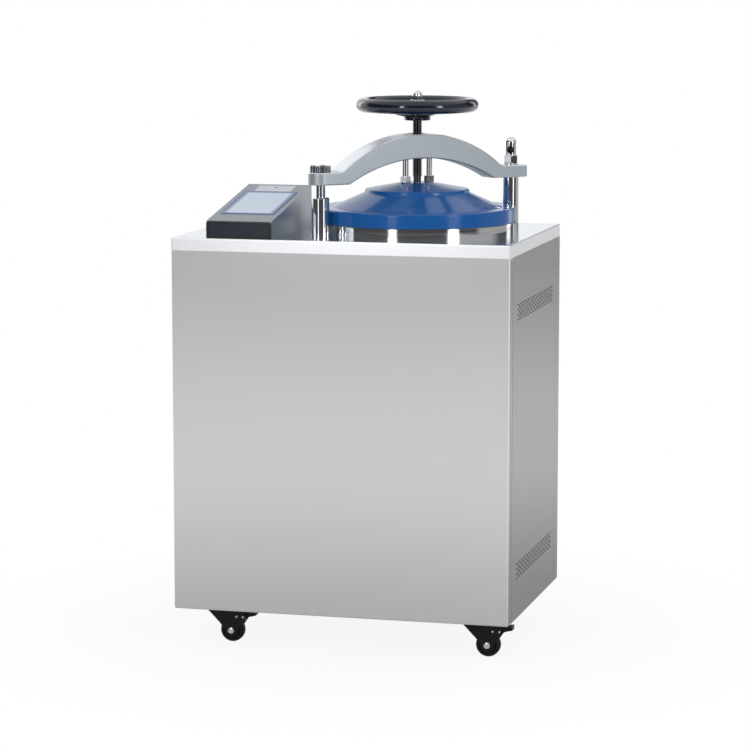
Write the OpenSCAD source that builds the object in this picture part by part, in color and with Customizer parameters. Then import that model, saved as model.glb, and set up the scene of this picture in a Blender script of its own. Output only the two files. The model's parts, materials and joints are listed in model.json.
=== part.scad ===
// Vertical steam steriliser: a round pressure vessel in a stainless cabinet on casters.
// The lid hangs from an arched beam that swings on the front left post. A handwheel and
// screw lift the lid, and a tie nut on the rear right post holds the free end of the beam.
// Millimetres, +Z up, the front faces -Y.

/* [Cabinet] */
// Width of the cabinet
cab_w = 700; // [660:5:760]
// Room from the insulation to the front, the back and the right side of the cabinet
wall_room = 42; // [34:1:60]
// Room under the vessel for its pipes
base_room = 148; // [140:1:180]
// Thickness of the stainless sheet
sheet_t = 1.5; // [1:0.1:2]
// Height of the folded lip round the top plate
lip_h = 26; // [22:0.5:30]
// How far the front panel is folded round onto each side
front_wrap = 30; // [20:1:40]
// How far the rear panel is folded round onto each side
rear_wrap = 42; // [30:1:50]
// Open seam between neighbouring panels
seam = 1; // [0.5:0.1:2]
// Side of the square frame tube
tube_s = 25; // [20:1:30]
// Wall of the square frame tube
tube_t = 2; // [1.5:0.1:3]

/* [Side vents] */
// Rows of slots in one vent
vent_rows = 7; // [4:1:8]
// Slots in one row
vent_slots = 15; // [8:1:16]
// Length of one slot
slot_l = 16; // [12:0.5:18]
// Height of one slot
slot_h = 2.4; // [1.5:0.1:3]
// Distance from one slot to the next in a row
slot_pitch = 24; // [20:0.5:25]
// Distance from one row to the next
row_pitch = 5; // [4:0.1:6]
// Middle of the upper vent below the top of the panel
vent_drop = 114; // [90:1:160]
// Middle of the lower vent above the bottom of the panel
vent_rise = 98; // [80:1:160]

/* [Vessel] */
// Inside diameter of the chamber
chamber_d = 340; // [320:1:346]
// Depth of the chamber down to its dished floor
chamber_depth = 550; // [500:5:560]
// Wall of the vessel
vessel_t = 3; // [2:0.5:4]
// Width of the polished neck ring outside the chamber
ring_wall = 29; // [25:0.5:30]
// Height of the neck ring above the top plate
ring_h = 22; // [18:0.5:26]
// Width of the gasket
gasket_w = 11; // [8:0.5:12]
// Thickness of the gasket
gasket_t = 4; // [3:0.5:6]
// Thickness of the insulation
wool_t = 35; // [25:1:38]

/* [Lid] */
// How far the lid stands out past the neck ring
lid_edge = 3; // [1:0.5:4]
// Height of the lid's rim
rim_h = 29.5; // [26:0.5:32]
// Width of the flat rim outside the lid's cone
cone_set = 27; // [22:1:29]
// Height of the cone above the rim
cone_h = 29; // [26:0.5:32]
// Radius of the step on the lid
step_r = 108; // [100:1:115]
// Height of the step on the lid
step_h = 7.5; // [5:0.5:9]
// Radius of the flat hub of the lid
hub_r = 34; // [32:0.5:40]
// Rise from the step to the flat hub
crown_h = 13.5; // [10:0.5:15]
// Thickness of the lid's dome
dome_t = 10; // [6:0.5:12]
// Travel of the lid when the screw lifts it
lift = 32; // [20:1:32]

/* [Beam] */
// Direction of the beam seen from above, from the left to right line
beam_angle = 45; // [43:1:47]
// Distance from the lid's edge to the axis of each post
post_set = 26; // [25:0.5:28]
// Width of the beam
beam_w = 50; // [44:1:52]
// Thickness of the beam's flat ends
beam_end_t = 25; // [20:1:28]
// Underside of the beam's ends above the top plate
beam_z = 105; // [104:0.5:110]
// Distance from a post to the start of the arch on top
arch_top_set = 36.75; // [36:0.25:42]
// Distance from a post to the start of the arch underneath
arch_low_set = 55.5; // [50:0.5:60]
// Rise of the arch on top above the beam's ends
arch_top_rise = 72; // [68:1:76]
// Rise of the arch underneath
arch_low_rise = 47; // [46:1:49]
// Radius that blends the arch into the flat ends
arch_blend_r = 25; // [15:1:30]

/* [Posts] */
// Diameter of both posts
post_d = 36; // [34:0.5:38]
// Height of the hinge sleeve above the top plate
sleeve_h = 80; // [70:1:90]
// Diameter of the hinge shaft
shaft_d = 19.5; // [18:0.5:22]
// Diameter of the threaded end of the latch post
tie_d = 16; // [14:0.5:18]
// Width across the flats of the tie nut
tie_nut_af = 27; // [22:0.5:28]
// Height of the tie nut's hexagon
tie_nut_h = 17.5; // [15:0.5:20]
// Diameter of the tie nut's round cap
tie_cap_d = 24.5; // [20:0.5:26]
// Height of the tie nut's round cap with its dome
tie_cap_h = 37; // [30:1:42]
// Hole for the bar that turns the tie nut
bar_hole_d = 14; // [10:0.5:15]
// Depth of the hole for the bar
bar_hole_l = 17; // [14:0.5:19]

/* [Screw and handwheel] */
// Diameter of the screw
screw_d = 19.9; // [18:0.1:22]
// Diameter of the screw's plain lower end
journal_d = 16; // [14:0.5:16.5]
// Diameter of the handwheel
wheel_d = 251; // [220:1:260]
// Diameter of the handwheel's round rim section
wheel_rim_d = 28; // [22:0.5:30]
// Number of spokes
spokes = 3; // [3:1:5]
// Width of a spoke
spoke_w = 20; // [14:1:24]
// Height of the handwheel's hub
wheel_hub_h = 39; // [34:1:42]
// Diameter of the handwheel's hub plate
wheel_foot_d = 54; // [44:1:58]
// Gap from the top of the beam to the handwheel's hub
wheel_gap = 27; // [24:1:30]
// Diameter of a guide rod
rod_d = 13; // [10:0.5:14]
// Distance from the screw to each guide rod
rod_r = 28.4; // [28:0.1:30]
// Width across the flats of the small nuts
nut_af = 20; // [18:0.5:21]

/* [Console] */
// Share of the room beside the lid that the console fills
console_share = 0.5484; // [0.45:0.0001:0.56]
// Depth of the console
console_d = 300; // [280:5:320]
// Height of the console at the front
console_low = 35; // [30:1:40]
// Height of the console at the back
console_high = 87; // [80:1:95]
// Share of the room beside the lid that stays free to the left of the console
inset_share = 0.2944; // [0.25:0.0001:0.32]
// Distance from the front of the cabinet to the console
console_back = 4; // [2:1:20]
// Wall of the console
console_t = 2.5; // [2:0.1:4]
// Share of the console's width that the screen's frame takes
bezel_share = 0.8235; // [0.7:0.0001:0.84]
// Share of the slope's length that the screen's frame takes
slope_share = 0.6075; // [0.5:0.0001:0.62]

/* [Casters] */
// Height of the casters
caster_h = 76; // [76:1:90]
// Diameter of a caster wheel
caster_d = 50; // [46:1:50]
// Width of a caster wheel
tread_w = 20; // [16:1:22]
// How far a wheel trails behind its swivel
trail = 27; // [24:1:30]
// Distance from a front swivel to the side of the cabinet
front_inset = 80; // [80:1:110]
// Distance from a rear swivel to the side of the cabinet
rear_inset = 160; // [130:1:170]
// Distance from a swivel to the front or the back of the cabinet
caster_set = 62; // [55:1:80]

/* [Services at the back] */
// Length of the drain valve behind the rear panel
valve_l = 36; // [30:1:45]
// Diameter of the drain hose tail
tail_d = 16; // [12:0.5:18]
// Length of the drain hose tail
tail_l = 26; // [20:1:32]
// Height of the drain above the bottom of the cabinet
drain_rise = 84; // [70:1:100]

/* [Baskets] */
// Room round a basket inside the chamber
basket_gap = 20; // [15:1:30]
// Room above the baskets, up to the top of the neck ring
basket_room = 52.5; // [45:0.5:80]
// Wall of a basket
basket_t = 1.5; // [1:0.1:2]
// Height of the rack under the baskets
rack_h = 45; // [42:1:50]

/* [Hidden] */
$fn = 96;
// Overrun of a cut past the face that it goes through
cut = 1;
// Gap of pieces that move past each other, and of a shaft in its bore
gap = 0.3;
run = 0.05;

// Sizes that follow the chamber
vessel_inset = chamber_d / 2 + vessel_t + wool_t + wall_room;
cab_d = 2 * vessel_inset;
ring_d = chamber_d + 2 * ring_wall;
lid_d = ring_d + 2 * lid_edge;
cone_r = lid_d / 2 - cone_set;
post_r = lid_d / 2 + post_set;
basket_d = chamber_d - 2 * basket_gap;
wire_r = 2.5;
basket_h = (chamber_depth - rack_h - wire_r - basket_room) / 2;
// Depth of the dished floor, and the panels' height that holds the vessel and the room under it
dish_share = 0.25;
dish_depth = chamber_d * dish_share;
panel_h = base_room + vessel_t + dish_depth + chamber_depth - ring_h - lip_h;

// Places of the cabinet, its top plate and the vessel axis
rear_reach = valve_l + tail_l;
cab_y = -rear_reach / 2;
front_y = -cab_d / 2;
rear_y = cab_d / 2;
body_z = caster_h;
panel_top = body_z + panel_h;
top_z = panel_top + lip_h;
vessel_x = cab_w / 2 - vessel_inset;
inner_x = cab_w / 2 - sheet_t;

// Frame: clearance to the panels, and the rails that carry the closure ring
frame_gap = 0.2;
frame_x = inner_x - frame_gap;
frame_y = rear_y - sheet_t - frame_gap;
floor_t = 2;
frame_z = body_z + floor_t;
yoke_t = 20;
yoke_drop = 8;
yoke_z = -yoke_drop - yoke_t;
rail_z = top_z + yoke_z - tube_s;
rail_gap = 5;
rail_y = chamber_d / 2 + vessel_t + tube_s / 2 + rail_gap;
base_slots = 7;
base_slot_w = 12.5;
base_slot_l = 150;
base_pitch = 50;

// Neck ring, its gasket groove and the closure ring
vessel_r = chamber_d / 2 + vessel_t;
ring_lip = 8;
groove_d = gasket_t - run;
groove_set = 4;
groove_r = chamber_d / 2 + groove_set;
gasket_stand = 0.2;
yoke_w = 28;
lug_r = 30;
spigot_d = 24;
spigot_l = 20;
shaft_foot = 50;
sleeve_floor = 5;

// Lid levels above the top plate
lid_stand = 0.5;
lid_z = ring_h + lid_stand;
rim_z = lid_z + rim_h;
cone_z = rim_z + cone_h;
step_z = cone_z + step_h;
hub_z = step_z + crown_h;
rim_round = 4;
seal_w = 36;
boss_h = 25;
pocket_r = 14;
pocket_h = 18;
bearing_t = 6;
flange_r = 12.5;

// Beam levels above the top plate
beam_top = beam_z + beam_end_t;
arch_top = beam_top + arch_top_rise;
arch_low = beam_z + arch_low_rise;
arch_top_r = (pow(post_r - arch_top_set, 2) + pow(arch_top_rise, 2)) / (2 * arch_top_rise);
arch_low_r = (pow(post_r - arch_low_set, 2) + pow(arch_low_rise, 2)) / (2 * arch_low_rise);
beam_tail = 26;
lead_r = 20;
lead_recess = 1.2;
slot_play = 1.5;
cap_r = 22;
cap_t = 8;
bolt_r = 15.5;
bolt_head_d = 12;
bolt_head_h = 14;
bolt_d = 7;
bolt_l = 20;

// Tie nut levels
washer_t = 2.5;
washer_r = 15;
tie_stand = 0.2;
tie_z = beam_top + tie_stand;
tie_hole_rise = 4;
bar_turn = 10;
post_chamfer = 2;

// Handwheel levels
wheel_z = arch_top + wheel_gap;
rim_rise = 31.5;
spoke_root_z = 12;
spoke_root_t = 12;
spoke_tip_t = 10;
rim_mid_r = (wheel_d - wheel_rim_d) / 2;
wheel_bore_d = 16;
stud_d = 13;
foot_t = 7;
neck_r = 16;
crown_r = 20;
wheel_nut_h = 9;
wheel_nut_dome = 10;
stud_end = 3;
stud_room = 1;
socket_af = 6;
socket_h = 6;
guide_top = 12;
guide_root = 18;
nut_h = 12.7;
nut_turn = 12;

// Console places, in the room between the left side of the cabinet and the lid
console_room = cab_w / 2 + vessel_x - lid_d / 2;
console_w = console_room * console_share;
console_x = -cab_w / 2 + console_room * inset_share + console_w / 2;
console_y = front_y + console_back;
fascia_t = 4;
console_nose = 3;
console_lean = atan((console_high - console_low) / (console_d - console_nose - fascia_t));
fascia_round = 5;
bezel_w = console_w * bezel_share;
bezel_t = 3;
bezel_stand = 0.8;
slope_l = console_d - console_nose - fascia_t;
start_share = 0.1911;
bezel_start = slope_l * start_share;
bezel_l = slope_l * slope_share;
screen_margin = 9;
screen_sink = 0.4;
strip_share = 0.581;
strip_w = console_w * strip_share;
strip_length_share = 0.1433;
strip_l = slope_l * strip_length_share;
strip_gap = 8;
strip_t = 1;

// Casters: plate, ball race, fork and brake pedal
plate_l = 95;
plate_w = 64;
plate_t = 3;
race_r = 22;
race_h = 8;
tread_edge = 3;
pin_r = 5;
pin_head_r = 8;
pin_head_h = 3;
fork_t = 2.5;
cheek_gap = 1.5;
axle_r = 4;
axle_head_r = 6.5;
axle_head_h = 3.5;
fork_top = caster_h - plate_t - race_h - gap;
fork_y = tread_w / 2 + cheek_gap;
lobe_r = 14;
pivot_dx = 25;
rivet_dx = 11;
pivot_z = 54;
rivet_r = 2.5;
pedal_reach = 51;
pedal_t = 9;
pedal_w = 20;
toe_z = 3;
// Brake cam: its length leaves the tread free by one gap at the end of the pedal's travel
pedal_travel = 20;
cam_w = 8;
cam_l = sqrt(pow(pivot_dx, 2) + pow(pivot_z - caster_d / 2, 2)) - caster_d / 2 - 2 * gap;
cam_lead = atan(pivot_dx / (pivot_z - caster_d / 2)) - pedal_travel;

// Services
drain_z = body_z + drain_rise;
valve_r = 14;
pipe_r = 8;
pipe_wall = 1.5;
drain_x = vessel_x;
gland_x = -cab_w / 4;
gland_r = 12;
gland_l = 22;
switch_w = 28;
switch_h = 22;
switch_rise = 66;
switch_z = drain_z + switch_rise;
steam_drop = 153;
steam_z = top_z - steam_drop;
steam_out = 50;
steam_x = vessel_x - vessel_r - wool_t - steam_out;
steam_r = 6;
exhaust_l = 24;
valve_body_share = 0.85;
gland_thread_share = 0.7;
gland_dome_share = 0.85;
gland_thread_l = 6;
lever_l = 60;
lever_w = 14;
lever_t = 3;
seat_h = 2;
tap_r = 3;
valve_af = 18;
valve_base_h = 16;
bonnet_r = 10.5;
bonnet_h = 30;
switch_wall = 2;
switch_depth = 12;
rocker_play = 0.6;
rocker_pin_r = 0.8;

// Inside the chamber: heaters, rack, baskets and the dished floor
heater_r = 5;
heater_stand = 20;
rack_gap = 4;
rack_hole_r = 6;
rack_rings = 4;
loop_w = 60;
basket_holes = 16;
basket_rows = 3;
basket_hole_r = 9;
floor_z = ring_h - chamber_depth;
// Dished floor: a flat ellipse, from the wall to the middle
dish_steps = 12;

front_left = [-cab_w / 2 + front_inset, front_y + caster_set];
front_right = [cab_w / 2 - front_inset, front_y + caster_set];
rear_left = [-cab_w / 2 + rear_inset, rear_y - caster_set];
rear_right = [cab_w / 2 - rear_inset, rear_y - caster_set];

// Places that many pieces share
module at_cabinet() {
    translate([0, cab_y, 0]) children();
}
module at_vessel() {
    translate([vessel_x, cab_y, top_z]) children();
}
module at_beam() {
    at_vessel() rotate([0, 0, beam_angle]) children();
}
module at_hinge() {
    at_beam() translate([-post_r, 0, 0]) children();
}
module at_latch() {
    at_beam() translate([post_r, 0, 0]) children();
}

// Shapes that repeat
module ring(outer_r, inner_r, height) {
    difference() {
        cylinder(r = outer_r, h = height);
        translate([0, 0, -cut]) cylinder(r = inner_r, h = height + 2 * cut);
    }
}
module hexagon(across_flats, height) {
    cylinder(d = across_flats / cos(30), h = height, $fn = 6);
}
module rail(along, length) {
    // A square tube along one axis: 0 is X, 1 is Y and 2 is Z
    outer = [for (axis = [0:2]) axis == along ? length : tube_s];
    inner = [for (axis = [0:2]) axis == along ? length + 2 * cut : tube_s - 2 * tube_t];
    shift = [for (axis = [0:2]) axis == along ? -cut : tube_t];
    difference() {
        cube(outer);
        translate(shift) cube(inner);
    }
}

// Cabinet
module frame() {
    color("gray") at_cabinet() {
        span_x = 2 * frame_x;
        span_y = 2 * frame_y;
        post_l = top_z - sheet_t - frame_z;
        union() {
            for (x = [-frame_x, frame_x - tube_s], y = [-frame_y, frame_y - tube_s])
                translate([x, y, frame_z]) rail(2, post_l);
            for (y = [-frame_y, frame_y - tube_s])
                translate([-frame_x + tube_s, y, frame_z]) rail(0, span_x - 2 * tube_s);
            for (x = [-frame_x, frame_x - tube_s], z = [frame_z, rail_z])
                translate([x, -frame_y + tube_s, z]) rail(1, span_y - 2 * tube_s);
            for (side = [-1, 1])
                translate([-frame_x + tube_s, side * rail_y - tube_s / 2, rail_z])
                    rail(0, span_x - 2 * tube_s);
        }
    }
}
module base_plate() {
    color("silver") at_cabinet()
        difference() {
            translate([-inner_x + frame_gap, -frame_y, body_z])
                cube([2 * (inner_x - frame_gap), 2 * frame_y, floor_t]);
            for (i = [0:base_slots - 1])
                translate([(i - (base_slots - 1) / 2) * base_pitch, 0, body_z + floor_t / 2])
                    cube([base_slot_w, base_slot_l, floor_t + 2 * cut], center = true);
        }
}
module front_panel() {
    // A sheet with its two upright edges folded round the corners
    color("silver") at_cabinet() translate([0, front_y, body_z])
        difference() {
            translate([-cab_w / 2, 0, 0]) cube([cab_w, front_wrap, panel_h]);
            translate([-inner_x, sheet_t, -cut]) cube([2 * inner_x, front_wrap, panel_h + 2 * cut]);
        }
}
module rear_panel() {
    color("silver") at_cabinet()
        difference() {
            translate([-cab_w / 2, rear_y - rear_wrap, body_z]) cube([cab_w, rear_wrap, panel_h]);
            translate([-inner_x, rear_y - rear_wrap - sheet_t, body_z - cut])
                cube([2 * inner_x, rear_wrap, panel_h + 2 * cut]);
            translate([drain_x, rear_y, drain_z]) rotate([90, 0, 0])
                cylinder(r = pipe_r + run, h = 4 * sheet_t, center = true);
            translate([steam_x, rear_y, steam_z]) rotate([90, 0, 0])
                cylinder(r = steam_r + run, h = 4 * sheet_t, center = true);
            translate([gland_x, rear_y, drain_z]) rotate([90, 0, 0])
                cylinder(r = gland_r * gland_thread_share + run, h = 4 * sheet_t, center = true);
            translate([gland_x, rear_y, switch_z])
                cube([switch_w + run, 4 * sheet_t, switch_h + run], center = true);
        }
}
module vent_slots(x) {
    // Rows of short slots, each second row moved by half a pitch
    row_l = (vent_slots - 1) * slot_pitch;
    for (row = [0:vent_rows - 1], i = [0:vent_slots - 1 - row % 2])
        translate([x, -row_l / 2 + (i + (row % 2) / 2) * slot_pitch, (row - (vent_rows - 1) / 2) * row_pitch])
            cube([4 * sheet_t, slot_l, slot_h], center = true);
}
module side_panel(side) {
    length = cab_d - front_wrap - rear_wrap - 2 * seam;
    color("silver") at_cabinet()
        difference() {
            translate([side > 0 ? inner_x : -cab_w / 2, front_y + front_wrap + seam, body_z])
                cube([sheet_t, length, panel_h]);
            for (z = [panel_top - vent_drop, body_z + vent_rise])
                translate([0, 0, z]) vent_slots(side * cab_w / 2);
        }
}
module left_panel() {
    side_panel(-1);
}
module right_panel() {
    side_panel(1);
}
module top_plate() {
    color("gainsboro") at_cabinet()
        difference() {
            translate([-cab_w / 2, front_y, panel_top]) cube([cab_w, cab_d, lip_h]);
            translate([-inner_x, front_y + sheet_t, panel_top - cut])
                cube([2 * inner_x, cab_d - 2 * sheet_t, lip_h - sheet_t + cut]);
            translate([vessel_x, 0, panel_top]) cylinder(r = ring_d / 2 + run, h = lip_h + cut, $fn = 180);
            translate([vessel_x, 0, panel_top]) rotate([0, 0, beam_angle])
                for (side = [-1, 1])
                    translate([side * post_r, 0, 0]) cylinder(r = post_d / 2 + run, h = lip_h + cut);
        }
}

// Pressure vessel
function dish(radius, depth) = [for (i = [0:dish_steps])
    let (a = 90 * i / dish_steps) [radius * cos(a), -depth * sin(a)]];
// Depth of the dish below the straight wall, at a distance from the axis
function dish_at(distance) = dish_depth * sqrt(1 - pow(2 * distance / chamber_d, 2));
module vessel() {
    shell_top = ring_h - ring_lip;
    drain_r = pipe_r + run;
    outer = dish(vessel_r, dish_depth + vessel_t);
    inner = dish(chamber_d / 2, dish_depth);
    color("lightgray") at_vessel() difference() {
        rotate_extrude($fn = 180) translate([0, floor_z])
            polygon(concat([[vessel_r, shell_top - floor_z]], outer,
                [for (i = [dish_steps:-1:0]) inner[i]], [[chamber_d / 2, shell_top - floor_z]]));
        translate([0, 0, floor_z - dish_depth - 2 * vessel_t]) cylinder(r = drain_r, h = 4 * vessel_t);
        translate([-vessel_r - vessel_t, 0, steam_z - top_z]) rotate([0, 90, 0])
            cylinder(r = steam_r + run, h = 4 * vessel_t);
    }
}
module vessel_flange() {
    color("gainsboro") at_vessel()
        rotate_extrude($fn = 180) difference() {
            translate([chamber_d / 2, -yoke_drop]) square([ring_d / 2 - chamber_d / 2, ring_h + yoke_drop]);
            translate([0, -yoke_drop - cut])
                square([vessel_r + run, ring_h - ring_lip + yoke_drop + cut + run]);
            translate([groove_r, ring_h - groove_d]) square([gasket_w, gasket_t]);
        }
}
module lid_gasket() {
    color("white") at_vessel()
        translate([0, 0, ring_h - groove_d])
            ring(groove_r + gasket_w - run, groove_r + run, groove_d + gasket_stand);
}
module insulation() {
    ceiling_z = rail_z - top_z - gap;
    color("khaki") at_vessel()
        difference() {
            translate([0, 0, floor_z]) ring(vessel_r + wool_t, vessel_r + run, ceiling_z - floor_z);
            translate([-vessel_r - 2 * wool_t, 0, steam_z - top_z]) rotate([0, 90, 0])
                cylinder(r = steam_r + run, h = 2 * wool_t);
        }
}
module heating_elements() {
    // Two tubular rings low in the chamber, each with a pair of legs down to the dished floor
    color("dimgray") at_vessel()
        for (loop_r = [chamber_d / 4, chamber_d / 3]) {
            leg_l = heater_stand + dish_at(loop_r + heater_r) - 2 * gap;
            translate([0, 0, floor_z + heater_stand]) union() {
                rotate_extrude() translate([loop_r, 0]) circle(r = heater_r, $fn = 24);
                for (a = [-60, 60])
                    rotate([0, 0, a]) translate([loop_r, 0, -leg_l]) cylinder(r = heater_r, h = leg_l);
            }
        }
}
module basket_rack() {
    // A drilled plate on four legs that keeps the baskets above the water
    plate_z = floor_z + rack_h;
    rack_r = chamber_d / 2 - rack_gap;
    leg_r = rack_hole_r;
    leg_l = rack_h + dish_at(rack_r - leg_r) - 2 * gap;
    color("silver") at_vessel() union() {
        difference() {
            translate([0, 0, plate_z - basket_t]) cylinder(r = rack_r, h = basket_t);
            for (turn = [1:rack_rings], i = [0:6 * turn - 1])
                rotate([0, 0, 60 * i / turn])
                    translate([turn * rack_r / (rack_rings + 1), 0, plate_z - 2 * basket_t])
                        cylinder(r = rack_hole_r, h = 3 * basket_t, $fn = 24);
        }
        for (i = [0:3])
            rotate([0, 0, 45 + 90 * i]) translate([rack_r - 2 * leg_r, 0, plate_z - leg_l])
                cylinder(r = leg_r, h = leg_l - basket_t / 2);
    }
}
// Basket: a rolled sheet with a rolled rim, a drilled wall and two loop handles inside the rim
module basket(level) {
    basket_z = floor_z + rack_h + level * (basket_h + wire_r);
    color("silver") at_vessel() translate([0, 0, basket_z]) union() {
        difference() {
            cylinder(d = basket_d, h = basket_h);
            translate([0, 0, basket_t]) cylinder(d = basket_d - 2 * basket_t, h = basket_h);
            for (row = [1:basket_rows], i = [0:basket_holes - 1])
                translate([0, 0, row * basket_h / (basket_rows + 1)])
                    rotate([0, 90, 360 * (i + row / 2) / basket_holes])
                        cylinder(r = basket_hole_r, h = basket_d, $fn = 8);
        }
        translate([0, 0, basket_h]) rotate_extrude()
            translate([basket_d / 2, 0]) circle(r = wire_r, $fn = 24);
        for (side = [-1, 1])
            translate([side * (basket_d / 2 - basket_t - wire_r), 0, basket_h - loop_w / 2]) union() {
                for (y = [-loop_w / 2, loop_w / 2])
                    translate([0, y, -wire_r]) cylinder(r = wire_r, h = loop_w / 2 + 2 * wire_r, $fn = 24);
                translate([0, loop_w / 2 + wire_r, -wire_r]) rotate([90, 0, 0])
                    cylinder(r = wire_r, h = loop_w + 2 * wire_r, $fn = 24);
            }
    }
}
module lower_basket() {
    basket(0);
}
module upper_basket() {
    basket(1);
}
module closure_yoke() {
    // The heavy ring that carries the pull of the lid from both posts round to the vessel
    color("dimgray") at_beam() translate([0, 0, yoke_z])
        difference() {
            union() {
                cylinder(r = vessel_r + yoke_w, h = yoke_t, $fn = 180);
                for (side = [-1, 1]) {
                    translate([side * post_r, 0, 0]) cylinder(r = lug_r, h = yoke_t);
                    translate([side * (post_r + vessel_r) / 2, 0, yoke_t / 2])
                        cube([post_r - vessel_r, 2 * lug_r, yoke_t], center = true);
                }
            }
            translate([0, 0, -cut]) cylinder(r = vessel_r + run, h = yoke_t + 2 * cut, $fn = 180);
            for (side = [-1, 1])
                translate([side * post_r, 0, -cut]) cylinder(d = spigot_d + 2 * run, h = yoke_t + 2 * cut);
        }
}

// Hinge side
module hinge_sleeve() {
    color("silver") at_hinge()
        difference() {
            union() {
                translate([0, 0, -yoke_drop]) cylinder(d = post_d, h = sleeve_h - post_chamfer + yoke_drop);
                translate([0, 0, sleeve_h - post_chamfer])
                    cylinder(d1 = post_d, d2 = post_d - 2 * post_chamfer, h = post_chamfer);
                translate([0, 0, -shaft_foot - sleeve_floor])
                    cylinder(d = spigot_d, h = shaft_foot + sleeve_floor - yoke_drop);
            }
            translate([0, 0, -shaft_foot]) cylinder(d = shaft_d + 2 * run, h = shaft_foot + sleeve_h + cut);
        }
}
module hinge_shaft() {
    // A shaft with a round head let into the top of the beam
    color("silver") at_hinge()
        difference() {
            union() {
                translate([0, 0, -shaft_foot]) cylinder(d = shaft_d, h = shaft_foot + beam_top - cap_t);
                translate([0, 0, beam_top - cap_t]) cylinder(r = cap_r, h = cap_t);
            }
            bolt_places() translate([0, 0, beam_top - cap_t - cut])
                cylinder(d = bolt_d + 2 * run, h = cap_t + 2 * cut);
        }
}
module bolt_places() {
    for (i = [0:3]) rotate([0, 0, 45 + 90 * i]) translate([bolt_r, 0, 0]) children();
}
module hinge_bolts() {
    color("gainsboro") at_hinge() bolt_places()
        difference() {
            union() {
                translate([0, 0, beam_top]) cylinder(d = bolt_head_d, h = bolt_head_h);
                translate([0, 0, beam_top - bolt_l]) cylinder(d = bolt_d, h = bolt_l);
            }
            translate([0, 0, beam_top + bolt_head_h - socket_h]) hexagon(socket_af, socket_h + cut);
        }
}

// Latch side
module latch_post() {
    color("silver") at_latch() union() {
        translate([0, 0, -yoke_drop]) cylinder(d = post_d - 2 * run, h = beam_z - gap + yoke_drop);
        translate([0, 0, -yoke_drop - spigot_l]) cylinder(d = spigot_d, h = spigot_l);
        cylinder(d = tie_d, h = tie_z + washer_t + tie_nut_h - stud_room);
    }
}
module latch_washer() {
    color("silver") at_latch() translate([0, 0, tie_z]) ring(washer_r, tie_d / 2 + run, washer_t);
}
module tie_nut() {
    // A hexagon under a bullet-shaped cap, with a blind hole for a bar
    straight_h = tie_cap_h - tie_cap_d / 2;
    base_z = tie_z + washer_t;
    hole_z = base_z + tie_nut_h + bar_hole_d / 2 + tie_hole_rise;
    color("silver") at_latch()
        difference() {
            union() {
                intersection() {
                    translate([0, 0, base_z]) hexagon(tie_nut_af, tie_nut_h);
                    translate([0, 0, base_z])
                        cylinder(r1 = tie_nut_af / 2 + tie_nut_h, r2 = tie_nut_af / 2, h = tie_nut_h + cut);
                }
                translate([0, 0, base_z + tie_nut_h - cut]) cylinder(d = tie_cap_d, h = straight_h + cut);
                translate([0, 0, base_z + tie_nut_h + straight_h]) sphere(d = tie_cap_d);
            }
            translate([0, 0, base_z - cut]) cylinder(d = tie_d + 2 * run, h = tie_nut_h + cut);
            rotate([0, 0, bar_turn - beam_angle]) translate([0, bar_hole_l - tie_cap_d / 2, hole_z])
                rotate([90, 0, 0]) cylinder(d = bar_hole_d, h = bar_hole_l + cut);
        }
}

// Beam
// Where the blend touches the arch on top, and where it reaches the flat end
blend_x = sqrt(pow(arch_top_r + arch_blend_r, 2) - pow(arch_top_r - arch_top_rise + arch_blend_r, 2));
touch_share = arch_top_r / (arch_top_r + arch_blend_r);
spring_x = sqrt(pow(arch_top_r, 2) - pow(arch_top_r - arch_top_rise, 2));
module beam_side() {
    // Side view of the beam: X along it, Y up from the underside of its ends
    centre_y = beam_end_t + arch_top_rise - arch_top_r;
    touch_y = centre_y + (beam_end_t + arch_blend_r - centre_y) * touch_share;
    low_y = arch_low_r - arch_low_rise;
    difference() {
        union() {
            translate([-post_r - beam_w, 0]) square([2 * (post_r + beam_w), beam_end_t]);
            intersection() {
                translate([0, centre_y]) circle(r = arch_top_r, $fn = 240);
                translate([-spring_x, 0]) square([2 * spring_x, beam_end_t + arch_top_rise + cut]);
            }
            for (side = [-1, 1]) scale([side, 1])
                difference() {
                    polygon([[blend_x * touch_share, beam_end_t / 2], [blend_x, beam_end_t / 2],
                        [blend_x, beam_end_t], [blend_x * touch_share, touch_y]]);
                    translate([blend_x, beam_end_t + arch_blend_r]) circle(r = arch_blend_r);
                }
        }
        translate([0, -low_y]) intersection() {
            circle(r = arch_low_r, $fn = 240);
            translate([-arch_low_r, low_y]) square([2 * arch_low_r, arch_low_rise + cut]);
        }
    }
}
module beam() {
    slot_r = tie_d / 2 + slot_play;
    color("silver") at_beam()
        difference() {
            intersection() {
                translate([0, beam_w / 2, beam_z]) rotate([90, 0, 0]) linear_extrude(beam_w) beam_side();
                union() {
                    translate([-post_r, 0, 0]) cylinder(d = beam_w, h = arch_top + cut);
                    translate([-post_r, -beam_w / 2 - cut, 0])
                        cube([2 * post_r + beam_tail, beam_w + 2 * cut, arch_top + cut]);
                }
            }
            cylinder(r = lead_r, h = arch_top + cut);
            for (side = [-1, 1])
                translate([side * rod_r, 0, 0]) cylinder(d = rod_d + 2 * run, h = arch_top + cut);
            translate([-post_r, 0, 0]) {
                cylinder(d = shaft_d, h = beam_top + cut);
                translate([0, 0, beam_top - cap_t]) cylinder(r = cap_r + run, h = cap_t + cut);
                bolt_places() translate([0, 0, beam_top - bolt_l]) cylinder(d = bolt_d, h = bolt_l + cut);
            }
            translate([post_r, 0, 0]) {
                cylinder(r = slot_r, h = beam_top + cut);
                translate([-slot_r, 0, 0]) cube([2 * slot_r, beam_w, beam_top + cut]);
            }
        }
}
module lead_nut() {
    color("darkgoldenrod") at_beam()
        translate([0, 0, arch_low - lead_recess])
            ring(lead_r, screw_d / 2 + run, arch_top - arch_low);
}

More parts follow.
